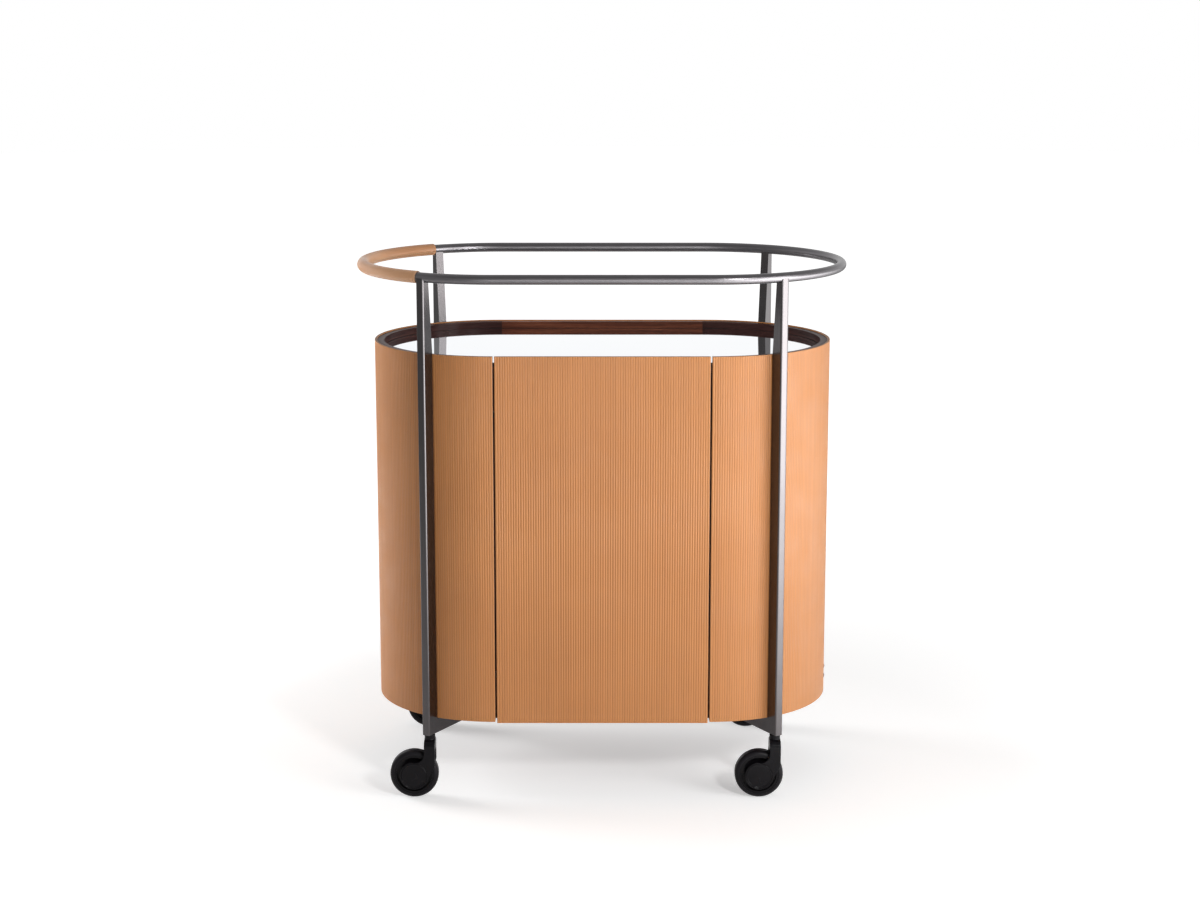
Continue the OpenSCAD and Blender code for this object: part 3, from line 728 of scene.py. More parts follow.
def lathe(profile: Sequence[tuple[float, float]], steps: int = 48, six_sided: int = 0) -> Mesh:
    """Turns a profile of radius and height about the Z axis into a closed mesh.

    Args:
        profile: The points from the lower pole or rim to the upper one.
        steps: Faces in one turn.
        six_sided: How many of the last points make hexagons, with the radius as half their width.

    Returns:
        The mesh.
    """
    build = bmesh.new()
    turn = [2 * math.pi * i / steps for i in range(steps)]
    corners = [math.cos(a % (math.pi / 3) - math.pi / 6) for a in turn]
    rings = []
    for row, (radius, height) in enumerate(profile):
        hexagon = row >= len(profile) - six_sided
        reach = [radius / corner if hexagon else radius for corner in corners]
        rings.append([build.verts.new((r * math.cos(a), r * math.sin(a), height))
                      for a, r in zip(turn, reach)])
    for lower, upper in zip(rings, rings[1:]):
        for i in range(steps):
            j = (i + 1) % steps
            build.faces.new((lower[i], lower[j], upper[j], upper[i]))
    bmesh.ops.remove_doubles(build, verts=build.verts, dist=MERGE)
    for ring in (rings[0], rings[-1]):
        alive = [v for v in ring if v.is_valid]
        if len(alive) > 2:
            build.faces.new(alive)
    bmesh.ops.recalc_face_normals(build, faces=build.faces)
    return poured(build, "lathe")


def moved(mesh: Mesh, matrix: Matrix) -> Mesh:
    """A copy of a mesh, moved by a matrix.

    Args:
        mesh: The mesh, which stays where it is.
        matrix: The move.

    Returns:
        The copy.
    """
    copy = mesh.copy()
    copy.transform(matrix)
    return copy


def joined(meshes: Iterable[Mesh]) -> Mesh:
    """Several meshes as one, with the first one's materials.

    Args:
        meshes: The meshes.

    Returns:
        The one mesh.
    """
    build = bmesh.new()
    sources = list(meshes)
    for mesh in sources:
        build.from_mesh(mesh)
    result = poured(build, "joined")
    for material in sources[0].materials:
        result.materials.append(material)
    return result


def merged_copy(frame: dict, node: str) -> Mesh:
    """A copy of a node's mesh with its loose triangles merged and its flat faces made whole.

    Args:
        frame: The loaded frame.
        node: The node's name.

    Returns:
        The copy.
    """
    build = bmesh.new()
    build.from_mesh(frame["nodes"][node].data)
    bmesh.ops.remove_doubles(build, verts=build.verts, dist=MERGE)
    bmesh.ops.dissolve_limit(build, angle_limit=math.radians(FLAT), verts=build.verts, edges=build.edges)
    return poured(build, node)


def loose_parts(mesh: Mesh) -> list[list[Vector]]:
    """Splits a mesh into its connected parts.

    Args:
        mesh: The mesh.

    Returns:
        The points of each part.
    """
    build = bmesh.new()
    build.from_mesh(mesh)
    waiting, parts = set(build.verts), []
    while waiting:
        border, part = [waiting.pop()], []
        while border:
            vertex = border.pop()
            part.append(vertex.co.copy())
            near = {edge.other_vert(vertex) for edge in vertex.link_edges} & waiting
            waiting -= near
            border += near
        parts.append(part)
    build.free()
    return parts


def modified(mesh: Mesh, *steps: tuple[str, dict[str, object]]) -> Mesh:
    """The mesh after a row of modifiers.

    Args:
        mesh: The mesh to start from.
        steps: For each modifier, its type and its settings.

    Returns:
        The plain result.
    """
    carrier = linked("carrier", mesh)
    for kind, settings in steps:
        modifier = carrier.modifiers.new(kind, kind)
        for key, value in settings.items():
            setattr(modifier, key, value)
    return evaluated(carrier)


def settled(mesh: Mesh, smallest: float = 15 * MM * MM) -> Mesh:
    """Gives every corner of a flat face that face's own normal, so that no flat face looks bent.

    Args:
        mesh: The mesh, already shaded.
        smallest: The area above which a face is looked at. It is flat if two of its corners have its normal.

    Returns:
        The same mesh.
    """
    normals = [Vector(corner.vector) for corner in mesh.corner_normals]
    for face in mesh.polygons:
        true = [i for i in face.loop_indices if normals[i].angle(face.normal, 0) < math.radians(FLAT)]
        if face.area > smallest and len(true) > 1:
            for i in face.loop_indices:
                normals[i] = face.normal.copy()
    mesh.normals_split_custom_set(normals)
    return mesh


def rounded(mesh: Mesh, width: float) -> Mesh:
    """The mesh with its sharp edges eased by a small round, and its flat faces shaded flat.

    Args:
        mesh: The mesh to start from.
        width: How far the round reaches into each face.

    Returns:
        The plain mesh without materials.
    """
    mesh.materials.clear()
    mesh.shade_smooth()
    ease = {"width": width, "segments": 2, "limit_method": "ANGLE", "angle_limit": math.radians(EASED)}
    weigh = {"mode": "FACE_AREA", "weight": 100}
    return settled(modified(mesh, ("BEVEL", ease), ("WEIGHTED_NORMAL", weigh)))


# ------------------------------------------------------------------ recipes


class RibbedSkin(Recipe):
    """A skin of upright ribs along a level path, cut square at its edges."""

    CREST_POWER = 0.55
    LOWEST_CREST = 0.86
    CUT_FACING = 0.3

    def __init__(self) -> None:
        """Builds the tree."""
        super().__init__("Ribbed skin", {
            "Ribs": int, "Samples per rib": int, "Rib depth": float, "Thickness": float,
            "Height": float, "Edge chamfer": float, "Skin": "material", "Cut edge": "material"})
        ribs, thick = self.input["Ribs"], self.input["Thickness"]
        count = self.math("ADD", self.times(ribs, self.input["Samples per rib"]), 1)
        inputs = {"Curve": self.input["Geometry"], "Count": count}
        path = self.add("GeometryNodeResampleCurve", inputs, mode="COUNT")
        place = self.times(self.add("GeometryNodeSplineParameter").outputs["Factor"], ribs)
        wave = self.math("SINE", self.times(self.math("FRACT", place), math.pi))
        crest = self.math("POWER", self.math("MAXIMUM", wave, 0.0), self.CREST_POWER)
        number = self.math("FLOOR", place)
        crest = self.times(crest, self.chance(self.LOWEST_CREST, 1.0, 4, number))
        aside = self.vector("CROSS_PRODUCT", self.add("GeometryNodeInputTangent"), (0, 0, 1))
        here = self.add("GeometryNodeInputPosition")
        path = self.store(path, "rib", crest, "FLOAT")
        path = self.store(path, "tint", self.chance(0.0, 1.0, 9, number), "FLOAT")
        path = self.store(path, "outward", aside, "FLOAT_VECTOR")
        path = self.store(path, "foot", here, "FLOAT_VECTOR")
        inputs = {"Width": thick, "Height": self.input["Height"]}
        section = self.add("GeometryNodeCurvePrimitiveQuadrilateral", inputs)
        inputs = {"Curve": section, "Radius": self.input["Edge chamfer"], "Count": 1}
        section = self.add("GeometryNodeFilletCurve", inputs, mode="POLY")
        inputs = {"Curve": path, "Profile Curve": section, "Fill Caps": True}
        skin = self.add("GeometryNodeCurveToMesh", inputs)
        outward = self.read("outward", "FLOAT_VECTOR")
        offset = self.vector("SUBTRACT", here, self.read("foot", "FLOAT_VECTOR"))
        share = self.math("DIVIDE", self.vector("DOT_PRODUCT", offset, outward), thick)
        weight = self.math("MAXIMUM", self.math("ADD", share, 0.5), 0.0)
        sink = self.times(self.math("SUBTRACT", self.read("rib", "FLOAT"), 1.0), self.input["Rib depth"])
        inputs = {0: outward, "Scale": self.times(sink, weight)}
        push = self.add("ShaderNodeVectorMath", inputs, operation="SCALE").outputs["Vector"]
        skin = self.add("GeometryNodeSetPosition", {"Geometry": skin, "Offset": push})
        normal = self.add("GeometryNodeInputNormal")
        facing = self.math("ABSOLUTE", self.vector("DOT_PRODUCT", normal, outward))
        inputs = {0: facing, 1: self.CUT_FACING}
        cut = self.add("FunctionNodeCompare", inputs, data_type="FLOAT", operation="LESS_THAN")
        self.close(skin, (self.input["Skin"], None), (self.input["Cut edge"], cut.outputs[0]))


class Tube(Recipe):
    """A round bar or sleeve along a path."""

    def __init__(self) -> None:
        """Builds the tree."""
        super().__init__("Tube", {"Radius": float, "Sides": int, "Skin": "material"})
        inputs = {"Resolution": self.input["Sides"], "Radius": self.input["Radius"]}
        section = self.add("GeometryNodeCurvePrimitiveCircle", inputs)
        inputs = {"Curve": self.input["Geometry"], "Profile Curve": section, "Fill Caps": True}
        tube = self.add("GeometryNodeCurveToMesh", inputs)
        self.close(tube, (self.input["Skin"], None))


class StitchRow(Recipe):
    """A row of stitches along a path, each a short thread with rounded ends."""

    def __init__(self) -> None:
        """Builds the tree."""
        super().__init__("Stitch row", {
            "Pitch": float, "Stitch length": float, "Thread radius": float, "Thread": "material"})
        radius = self.input["Thread radius"]
        inputs = {"Curve": self.input["Geometry"], "Length": self.input["Pitch"]}
        points = self.add("GeometryNodeCurveToPoints", inputs, mode="LENGTH").outputs
        ball = self.add("GeometryNodeMeshIcoSphere", {"Radius": radius, "Subdivisions": 2})
        reach = self.math("SUBTRACT", self.times(self.input["Stitch length"], 0.5), radius)
        here = self.add("GeometryNodeInputPosition")
        height = self.add("ShaderNodeSeparateXYZ", {0: here}).outputs["Z"]
        offset = self.add("ShaderNodeCombineXYZ", {"Z": self.times(self.math("SIGN", height), reach)})
        stitch = self.add("GeometryNodeSetPosition", {"Geometry": ball, "Offset": offset})
        inputs = {"Points": points["Points"], "Instance": stitch, "Rotation": points["Rotation"]}
        row = self.add("GeometryNodeInstanceOnPoints", inputs)
        self.close(row, (self.input["Thread"], None))


class Fasteners(Recipe):
    """Copies of one fastener on points, each aimed along the point's aim and turned at random."""

    FULL_TURN = 6.283

    def __init__(self) -> None:
        """Builds the tree."""
        super().__init__("Fasteners", {"Fastener": "object", "Metal": "material"})
        inputs = {"Vector": self.read("aim", "FLOAT_VECTOR")}
        aim = self.add("FunctionNodeAlignRotationToVector", inputs, axis="Z")
        inputs = {"Axis": (0, 0, 1), "Angle": self.chance(0.0, self.FULL_TURN, 11)}
        spin = self.add("FunctionNodeAxisAngleToRotation", inputs)
        spun = self.add("FunctionNodeRotateRotation", {0: aim, 1: spin}, rotation_space="LOCAL")
        fastener = self.add("GeometryNodeObjectInfo", {"Object": self.input["Fastener"]})
        inputs = {"Points": self.input["Geometry"], "Instance": fastener.outputs["Geometry"],
                  "Rotation": spun}
        row = self.add("GeometryNodeInstanceOnPoints", inputs)
        self.close(row, (self.input["Metal"], None))

    def place(self, fastener: Mesh, spots: Sequence[tuple[Vector, Vector]], metal: Material) -> Mesh:
        """Copies of a fastener at the given places.

        Args:
            fastener: The fastener, its head towards +Z and its seat at the origin.
            spots: For each copy, its seat and the way its head faces.
            metal: Its material.

        Returns:
            All copies as one mesh.
        """
        points = bpy.data.meshes.new("spots")
        points.from_pydata([place for place, _ in spots], [], [])
        aims = points.attributes.new("aim", "FLOAT_VECTOR", "POINT")
        aims.data.foreach_set("vector", [c for _, aim in spots for c in aim])
        carrier, pattern = linked("spots", points), linked("pattern", fastener)
        mesh = self.bake(carrier, {"Fastener": pattern, "Metal": metal})
        bpy.data.objects.remove(pattern)
        return mesh


# ------------------------------------------------------------------ the trolley


@dataclass(frozen=True)
class Plan:
    """Levels and radii of the trolley, read from the frame."""

    half_straight: float
    end_r: float
    body_z: float
    rim_z: float
    rail_r: float
    rail_z: float
    rail_tube_r: float
    sleeve_r: float
    post_angle: float = 30.0

    @classmethod
    def read(cls) -> "Plan":
        """Reads the plan from the boxes of the nodes.

        Returns:
            The plan.
        """
        skin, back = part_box("right_leather"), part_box("back_leather")
        rail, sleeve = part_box("rail"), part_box("rail_leather")
        tube_r = (rail[1].z - rail[0].z) / 2
        return cls(half_straight=back[1].x, end_r=back[1].y, body_z=skin[0].z, rim_z=skin[1].z,
                   rail_r=rail[1].y - tube_r, rail_z=(rail[1].z + rail[0].z) / 2, rail_tube_r=tube_r,
                   sleeve_r=(sleeve[1].z - sleeve[0].z) / 2)

    def end_centre(self, end: End, z: float = 0.0) -> Vector:
        """The centre of a round end at a height."""
        return Vector((end.value * self.half_straight, 0, z))

    def outward(self, corner: Corner) -> Vector:
        """The level direction in which a corner's post stands off."""
        a = math.radians(self.post_angle)
        return Vector((corner.end.value * math.sin(a), corner.face.value * math.cos(a), 0))


@dataclass
class Workshop:
    """What every sub-assembly needs: the frame, the plan, the finishes and the recipes."""

    frame: dict
    plan: Plan
    finishes: Finishes
    skin: RibbedSkin = field(default_factory=RibbedSkin)
    tube: Tube = field(default_factory=Tube)
    stitches: StitchRow = field(default_factory=StitchRow)
    fasteners: Fasteners = field(default_factory=Fasteners)


@dataclass
class LeatherCladding:
    """The ribbed leather on the two ends, the back and the door."""

    shop: Workshop
    rib_pitch: float = 4.02 * MM
    rib_depth: float = 0.5 * MM
    thickness: float = 3.95 * MM
    chamfer: float = 0.35 * MM
    samples: int = 10
    steps: int = 720
    sharp: float = 40.0

    def skin(self, name: str, path: Sequence[Vector], length: float, height: float, node: str,
             body: str) -> None:
        """Builds one ribbed skin.

        Args:
            name: The piece's name.
            path: The path through the middle of the leather at half its height, outer face to the right.
            length: The path's length.
            height: The height of the leather.
            node: The node that it replaces.
            body: The body that it moves with.
        """
        finishes = self.shop.finishes
        values = {"Ribs": round(length / self.rib_pitch), "Samples per rib": self.samples,
                  "Rib depth": self.rib_depth, "Thickness": self.thickness, "Height": height,
                  "Edge chamfer": self.chamfer, "Skin": finishes.tan, "Cut edge": finishes.edge}
        mesh = self.shop.skin.bake(path_object(path), values)
        add_piece(name, mesh, body, [node], angle=self.sharp)

    def build(self) -> None:
        """Builds the four skins."""
        plan = self.shop.plan
        middle = (plan.body_z + plan.rim_z) / 2
        height = plan.rim_z - plan.body_z
        r = plan.end_r - self.thickness / 2
        length = math.pi * plan.end_r
        for end, start in ((End.LEFT, 90), (End.RIGHT, -90)):
            path = arc(plan.end_centre(end, middle), r, start, start + 180, self.steps)
            side = end.name.lower()
            self.skin(f"{side}_end_leather", path, length, height, f"{side}_leather", "cabinet")
        back = [Vector((plan.half_straight, r, middle)), Vector((-plan.half_straight, r, middle))]
        self.skin("back_ribbed_leather", back, 2 * plan.half_straight, height, "back_leather", "cabinet")
        low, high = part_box("door_leather")
        z = (low.z + high.z) / 2
        front = [Vector((low.x, -r, z)), Vector((high.x, -r, z))]
        self.skin("door_ribbed_leather", front, high.x - low.x, high.z - low.z, "door_leather", "door")


@dataclass
class Woodwork:
    """The walnut walls, boards, stiles, cleats and the door's panel."""

    shop: Workshop
    ease: float = 0.6 * MM

    def build(self) -> None:
        """Eases the edges of each wooden piece and dresses it."""
        finishes = self.shop.finishes
        around, level, upright = finishes.wood_end, finishes.wood_back, finishes.wood_upright
        walls = {"left_shell": around, "right_shell": around, "back_panel": level,
                 "left_stile": upright, "right_stile": upright, "back_cleats": upright}
        for node, material in walls.items():
            self.piece(node, material, "dark_wood", "cabinet")
        for node in ("floor_board", "shelf", "top_board"):
            self.piece(node, level, "board_wood", "cabinet")
        self.piece("door_panel", level, "dark_wood", "door")

    def piece(self, node: str, material: Material, slot: str, body: str) -> None:
        """One wooden piece with eased edges."""
        mesh = rounded(merged_copy(self.shop.frame, node), self.ease)
        add_piece(f"{node}_veneered", mesh, body, [node], [material], angle=None)


@dataclass
class Top:
    """The sunken glass and its seal."""

    shop: Workshop
    ease: float = 1.0 * MM

    def build(self) -> None:
        """Builds the polished glass with its ground edge, and dresses the seal."""
        finishes = self.shop.finishes
        mesh = rounded(merged_copy(self.shop.frame, "glass_top"), self.ease)
        add_piece("polished_glass_top", mesh, "cabinet", ["glass_top"], [finishes.glass],
                  angle=None)
        dress(self.shop.frame, "glass_seal", finishes.rubber)


@dataclass
class HandRail:
    """The tubular rail, its leather sleeve and the sleeve's seam."""

    shop: Workshop
    rail_steps: int = 120
    rail_sides: int = 40
    post_t: float = 14 * MM
    sleeve_gap: float = 1.0 * MM
    sleeve_bore: float = 0.05 * MM
    sleeve_steps: int = 90
    sleeve_sides: int = 56
    edge_t: float = 0.9 * MM
    seam_angle: float = 215.0
    seam_depth: float = 0.25 * MM
    seam_spread: float = 6.0
    stitch_aside: float = 14.0
    stitch_inset: float = 1.2
    stitch_pitch: float = 4.5 * MM
    stitch_length: float = 2.9 * MM
    thread_r: float = 0.35 * MM
    thread_sink: float = 0.05 * MM
    sharp: float = 60.0

    def build(self) -> None:
        """Builds the tube, the sleeve with its cut ends, and two rows of stitches."""
        self.rail()
        plan = self.shop.plan
        half = plan.post_angle + math.degrees(math.asin((self.post_t / 2 + self.sleeve_gap) / plan.rail_r))
        self.sleeve(90 + half, 270 - half)
        self.seam(90 + half + self.stitch_inset, 270 - half - self.stitch_inset)

    def rail(self) -> None:
        """The closed tube round the top."""
        plan = self.shop.plan
        path = []
        for end, start in ((End.RIGHT, -90), (End.LEFT, 90)):
            centre = plan.end_centre(end, plan.rail_z)
            path += arc(centre, plan.rail_r, start, start + 180, self.rail_steps)
        values = {"Radius": plan.rail_tube_r, "Sides": self.rail_sides,
                  "Skin": self.shop.finishes.rail_metal}
        mesh = self.shop.tube.bake(path_object(path, closed=True), values)
        add_piece("hand_rail_tube", mesh, "cabinet", ["rail"])

    def section(self) -> list[tuple[float, float]]:
        """The outline of the sleeve's wall at one end.

        Returns:
            Pairs of a radius and a distance from that end.
        """
        plan, edge = self.shop.plan, self.edge_t
        outer, inner = plan.sleeve_r, plan.rail_tube_r + self.sleeve_bore
        return [(inner, 0.0), (outer - edge, 0.0), (outer - 0.3 * edge, 0.35 * edge), (outer, edge)]

    def rings(self, start: float, end: float) -> list[tuple[float, float]]:
        """The sleeve's rings: out of the bore at its back end, forward outside, and back through the bore.

        Args:
            start: The angle of its back end, in degrees from +X.
            end: The angle of its front end.

        Returns:
            Pairs of a ring's radius and its angle along the rail.
        """
        plan, steps = self.shop.plan, self.sleeve_steps
        rings = [(radius, start + math.degrees(inset / plan.rail_r)) for radius, inset in self.section()]
        first, last = rings[-1][1], end - math.degrees(self.edge_t / plan.rail_r)
        rings += [(plan.sleeve_r, first + (last - first) * i / steps) for i in range(1, steps)]
        for radius, inset in reversed(self.section()):
            rings.append((radius, end - math.degrees(inset / plan.rail_r)))
        bore = rings[0][0]
        return rings + [(bore, end + (start - end) * i / steps) for i in range(1, steps)]

    def loop(self, radius: float, angle: float) -> list[Vector]:
        """The points of one ring of the sleeve, a little lower where the seam runs.

        Args:
            radius: The ring's radius.
            angle: Its angle along the rail, in degrees from +X.

        Returns:
            The points.
        """
        plan = self.shop.plan
        centre = plan.end_centre(End.LEFT, plan.rail_z)
        out = Vector((math.cos(math.radians(angle)), math.sin(math.radians(angle)), 0))
        points = []
        for i in range(self.sleeve_sides):
            a = 2 * math.pi * i / self.sleeve_sides
            aside = (math.degrees(a) - self.seam_angle) / self.seam_spread
            overlap = self.seam_depth * math.exp(-aside ** 2)
            reach = radius - (overlap if radius > plan.rail_tube_r + MM else 0)
            points.append(centre + out * (plan.rail_r + reach * math.cos(a))
                          + Vector((0, 0, reach * math.sin(a))))
        return points

    def sleeve(self, start: float, end: float) -> None:
        """The leather wrapped round the left of the rail, with rounded cut ends.

        Args:
            start: The angle of its back end, in degrees from +X.
            end: The angle of its front end.
        """
        finishes = self.shop.finishes
        build = bmesh.new()
        loops = [[build.verts.new(point) for point in self.loop(radius, angle)]
                 for radius, angle in self.rings(start, end)]
        last = len(loops) - self.sleeve_steps
        edge_rows = {0, 1, last - 1, last - 2}
        for row, (one, two) in enumerate(zip(loops, loops[1:] + loops[:1])):
            for i in range(self.sleeve_sides):
                j = (i + 1) % self.sleeve_sides
                face = build.faces.new((one[i], one[j], two[j], two[i]))
                face.material_index = 1 if row in edge_rows else 0
        bmesh.ops.recalc_face_normals(build, faces=build.faces)
        add_piece("rail_sleeve", poured(build, "sleeve"), "cabinet", ["rail_leather"],
                  [finishes.sleeve, finishes.edge], angle=self.sharp)

    def seam(self, start: float, end: float) -> None:
        """Two rows of stitches beside the sleeve's seam, under the inner side of the rail.

        Args:
            start: The angle of the first stitch, in degrees from +X.
            end: The angle of the last one.
        """
        plan = self.shop.plan
        values = {"Pitch": self.stitch_pitch, "Stitch length": self.stitch_length,
                  "Thread radius": self.thread_r, "Thread": self.shop.finishes.thread}
        radius = plan.sleeve_r - self.thread_sink
        meshes = []
        for side in (-1, 1):
            a = math.radians(self.seam_angle + side * self.stitch_aside)
            centre = plan.end_centre(End.LEFT, plan.rail_z + radius * math.sin(a))
            path = arc(centre, plan.rail_r + radius * math.cos(a), start, end, self.rail_steps)
            meshes.append(self.shop.stitches.bake(path_object(path), values))
        add_piece("sleeve_stitches", joined(meshes), "cabinet")


@dataclass
class Posts:
    """The four flat-bar posts with their foot arms and spacers, and the castors' stems."""

    shop: Workshop
    ease: float = 0.6 * MM
    edge_round: float = 2.6 * MM
    edge_steps: int = 6
    shortest_long: float = 200 * MM
    outer_depth: float = 0.1 * MM

    def bar(self, corner: Corner) -> Mesh:
        """The flat bar of one post, its two long outer edges well rounded and the others eased.

        Args:
            corner: The post's corner.

        Returns:
            The mesh without materials.
        """
        mesh = merged_copy(self.shop.frame, f"post_{corner.name}")
        outward = self.shop.plan.outward(corner)
        reach = max(vertex.co.dot(outward) for vertex in mesh.vertices)
        build = bmesh.new()
        build.from_mesh(mesh)
        outer = {v for v in build.verts if v.co.dot(outward) > reach - self.outer_depth}
        long_edges = [edge for edge in build.edges
                      if edge.calc_length() > self.shortest_long and outer.issuperset(edge.verts)]
        bmesh.ops.bevel(build, geom=long_edges, offset=self.edge_round, segments=self.edge_steps, profile=0.5,
                        affect="EDGES", clamp_overlap=True)
        build.to_mesh(mesh)
        build.free()
        return rounded(mesh, self.ease)

    def build(self) -> None:
        """Builds the posts and dresses their spacers and the castors' stems."""
        finishes = self.shop.finishes
        for corner in CORNERS:
            node = f"post_{corner.name}"
            add_piece(f"{node}_flat_bar", self.bar(corner), "cabinet", [node],
                      [finishes.post_metal], angle=None)
        dress(self.shop.frame, "post_spacers", finishes.black)
        dress(self.shop.frame, "castor_stems", finishes.steel)


@dataclass
class DoorFittings:
    """The hinge arms and pins, the catch, its strike plate, the buffers and their screws."""

    shop: Workshop
    ease: float = 0.4 * MM

    def build(self) -> None:
        """Eases and dresses the fittings."""
        finishes = self.shop.finishes
        for node, material, slot, body in (("hinge_arms", finishes.steel, "bright_steel", "cabinet"),
                                           ("catch_body", finishes.black, "black_plastic", "cabinet"),
                                           ("strike_plate", finishes.steel, "bright_steel", "door")):
            mesh = rounded(merged_copy(self.shop.frame, node), self.ease)
            add_piece(f"{node}_eased", mesh, body, [node], [material], angle=None)
        for node in ("hinge_pins", "catch_magnet", "fixing_screws", "shelf_pins"):
            dress(self.shop.frame, node, finishes.steel)
        dress(self.shop.frame, "door_buffers", finishes.rubber)


@dataclass(frozen=True)
class Fastener:
    """The sizes of one kind of screw or stud, whose seat lies at the origin."""

    head_r: float
    head_h: float
    shank_r: float
    length: float
    chamfer: float = 0.5 * MM
    bevel: float = 0.15 * MM
    socket_share: float = 0.42
    socket_floor: float = 0.35
    sides: int = 48
    dome_steps: int = 8

    def socket_screw(self) -> Mesh:
        """A flat-headed screw with a hexagon socket.

        Returns:
            The mesh.
        """
        socket, edge, bevel = self.socket_share * self.head_r, self.chamfer, self.bevel
        shank = [(0, -self.length), (self.shank_r - edge, -self.length), (self.shank_r, -self.length + edge),
                 (self.shank_r, 0)]
        head = [(self.head_r, 0), (self.head_r, self.head_h - edge),
                (self.head_r - bevel, self.head_h - bevel), (self.head_r - edge, self.head_h)]
        hollow = [(socket + bevel, self.head_h), (socket, self.head_h - bevel),
                  (socket, self.socket_floor * self.head_h)]
        return lathe(shank + head + hollow, self.sides, six_sided=2)

    def domed_stud(self) -> Mesh:
        """A stud with a domed head.

        Returns:
            The mesh.
        """
        dome_r = (self.head_r ** 2 + self.head_h ** 2) / (2 * self.head_h)
        rim = math.asin(self.head_r / dome_r)
        turns = [rim * k / self.dome_steps for k in range(self.dome_steps, -1, -1)]
        dome = [(dome_r * math.sin(a), self.head_h - dome_r * (1 - math.cos(a))) for a in turns]
        return lathe([(0, -self.length), (self.shank_r, -self.length), (self.shank_r, 0)] + dome, self.sides)


@dataclass
class Screws:
    """The bolts, screws and studs: each kind is modelled once and copied to its places."""

    shop: Workshop
    arm_screw: Fastener = Fastener(5.4 * MM, 3 * MM, 3 * MM, 33 * MM)
    post_bolt: Fastener = Fastener(5.4 * MM, 3 * MM, 3 * MM, 29.7 * MM)
    end_stud: Fastener = Fastener(4.5 * MM, 2.2 * MM, 2.25 * MM, 8 * MM)

    def build(self) -> None:
        """Builds every set of fasteners."""
        steel, dark = self.shop.finishes.steel, self.shop.finishes.post_metal
        for node, kind, mesh, aim, metal, slot in (
                ("arm_screws", self.arm_screw, self.arm_screw.socket_screw(),
                 lambda part: Vector((0, 0, -1)), steel, "bright_steel"),
                ("post_bolts", self.post_bolt, self.post_bolt.socket_screw(),
                 self.inward, steel, "bright_steel"),
                ("end_studs", self.end_stud, self.end_stud.domed_stud(),
                 lambda part: Vector((1, 0, 0)), dark, "gunmetal")):
            self.fit(node, mesh, kind.head_h, aim, metal)

    def inward(self, part: Vector) -> Vector:
        """The level direction from a bolt to the centre of its round end."""
        middle = math.copysign(self.shop.plan.half_straight, part.x)
        return (Vector((middle, 0, part.z)) - part).normalized()

    def fit(self, node: str, fastener: Mesh, head_h: float, aim: Callable[[Vector], Vector],
            metal: Material) -> None:
        """Copies one fastener to the place of every solid of a node.

        Args:
            node: The node with the plain solids.
            fastener: The fastener's mesh.
            head_h: The height of its head above its seat.
            aim: Gives the way the head faces from the middle of a solid.
            metal: The material.
        """
        spots = []
        for part in loose_parts(merged_copy(self.shop.frame, node)):
            middle = sum(part, Vector()) / len(part)
            way = aim(middle)
            tip = max(point.dot(way) for point in part)
            spots.append((middle + way * (tip - head_h - middle.dot(way)), way))
        mesh = self.shop.fasteners.place(fastener, spots, metal)
        add_piece(f"{node}_set", mesh, "cabinet", [node])


@dataclass
class Castors:
    """The four swivel castors. The hub caps' rim is given in millimetres inwards and outwards."""

    shop: Workshop
    voxel: float = 0.7 * MM
    smoothing: int = 5
    smooth_share: float = 0.5
    fork_sharp: float = 60.0
    cap_sharp: float = 30.0
    cap_sides: int = 64
    cap_depth: float = 1.5 * MM
    cap_rim: Sequence[tuple[float, float]] = (
        (0, -0.55), (0.5, -0.1), (1.6, 0.0), (2.2, -0.35), (3.0, -0.45), (3.8, -0.2))
    cap_dome: Sequence[float] = (0.8, 0.6, 0.4, 0.2, 0.0)
    cap_crown: float = 0.18 * MM
    cap_sink: float = 0.02 * MM

    def build(self) -> None:
        """Builds the forks, caps, wheels and tyres of all corners."""
        frame, finishes = self.shop.frame, self.shop.finishes
        for corner in CORNERS:
            name, swivel = corner.name, f"castor_{corner.name}"
            remesh = {"mode": "VOXEL", "voxel_size": self.voxel}
            smooth = {"factor": self.smooth_share, "iterations": self.smoothing}
            fork = modified(merged_copy(frame, f"fork_{name}"), ("REMESH", remesh), ("SMOOTH", smooth))
            fork.materials.clear()
            add_piece(f"fork_{name}_moulded", fork, swivel, [f"fork_{name}"],
                      [finishes.castor], self.fork_sharp)
            self.caps(corner, swivel)
            for node, material in (("bush", finishes.castor), ("axle", finishes.steel),
                                   ("wheel", finishes.castor), ("tyre", finishes.tyre)):
                dress(frame, f"{node}_{name}", material)

    def caps(self, corner: Corner, body: str) -> None:
        """The two domed hub caps of one castor.

        Args:
            corner: The castor's corner.
            body: The body that they move with.
        """
        low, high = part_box(f"caps_{corner.name}")
        centre = (low + high) / 2
        r, half = (high.x - low.x) / 2, (high.y - low.y) / 2
        rim = [(0.0, -self.cap_depth), (r, -self.cap_depth)]
        rim += [(r - inwards * MM, out * MM) for inwards, out in self.cap_rim]
        dome = [(r * k, -self.cap_sink - self.cap_crown * (k / self.cap_dome[0]) ** 2) for k in self.cap_dome]
        cap = lathe(rim + dome, self.cap_sides)
        meshes = []
        for side in (-1, 1):
            turn = Matrix.Rotation(math.radians(-90 * side), 4, "X")
            meshes.append(moved(cap, Matrix.Translation(centre + Vector((0, side * half, 0))) @ turn))
        add_piece(f"hub_caps_{corner.name}", joined(meshes), body, [f"caps_{corner.name}"],
                  [self.shop.finishes.castor], self.cap_sharp)


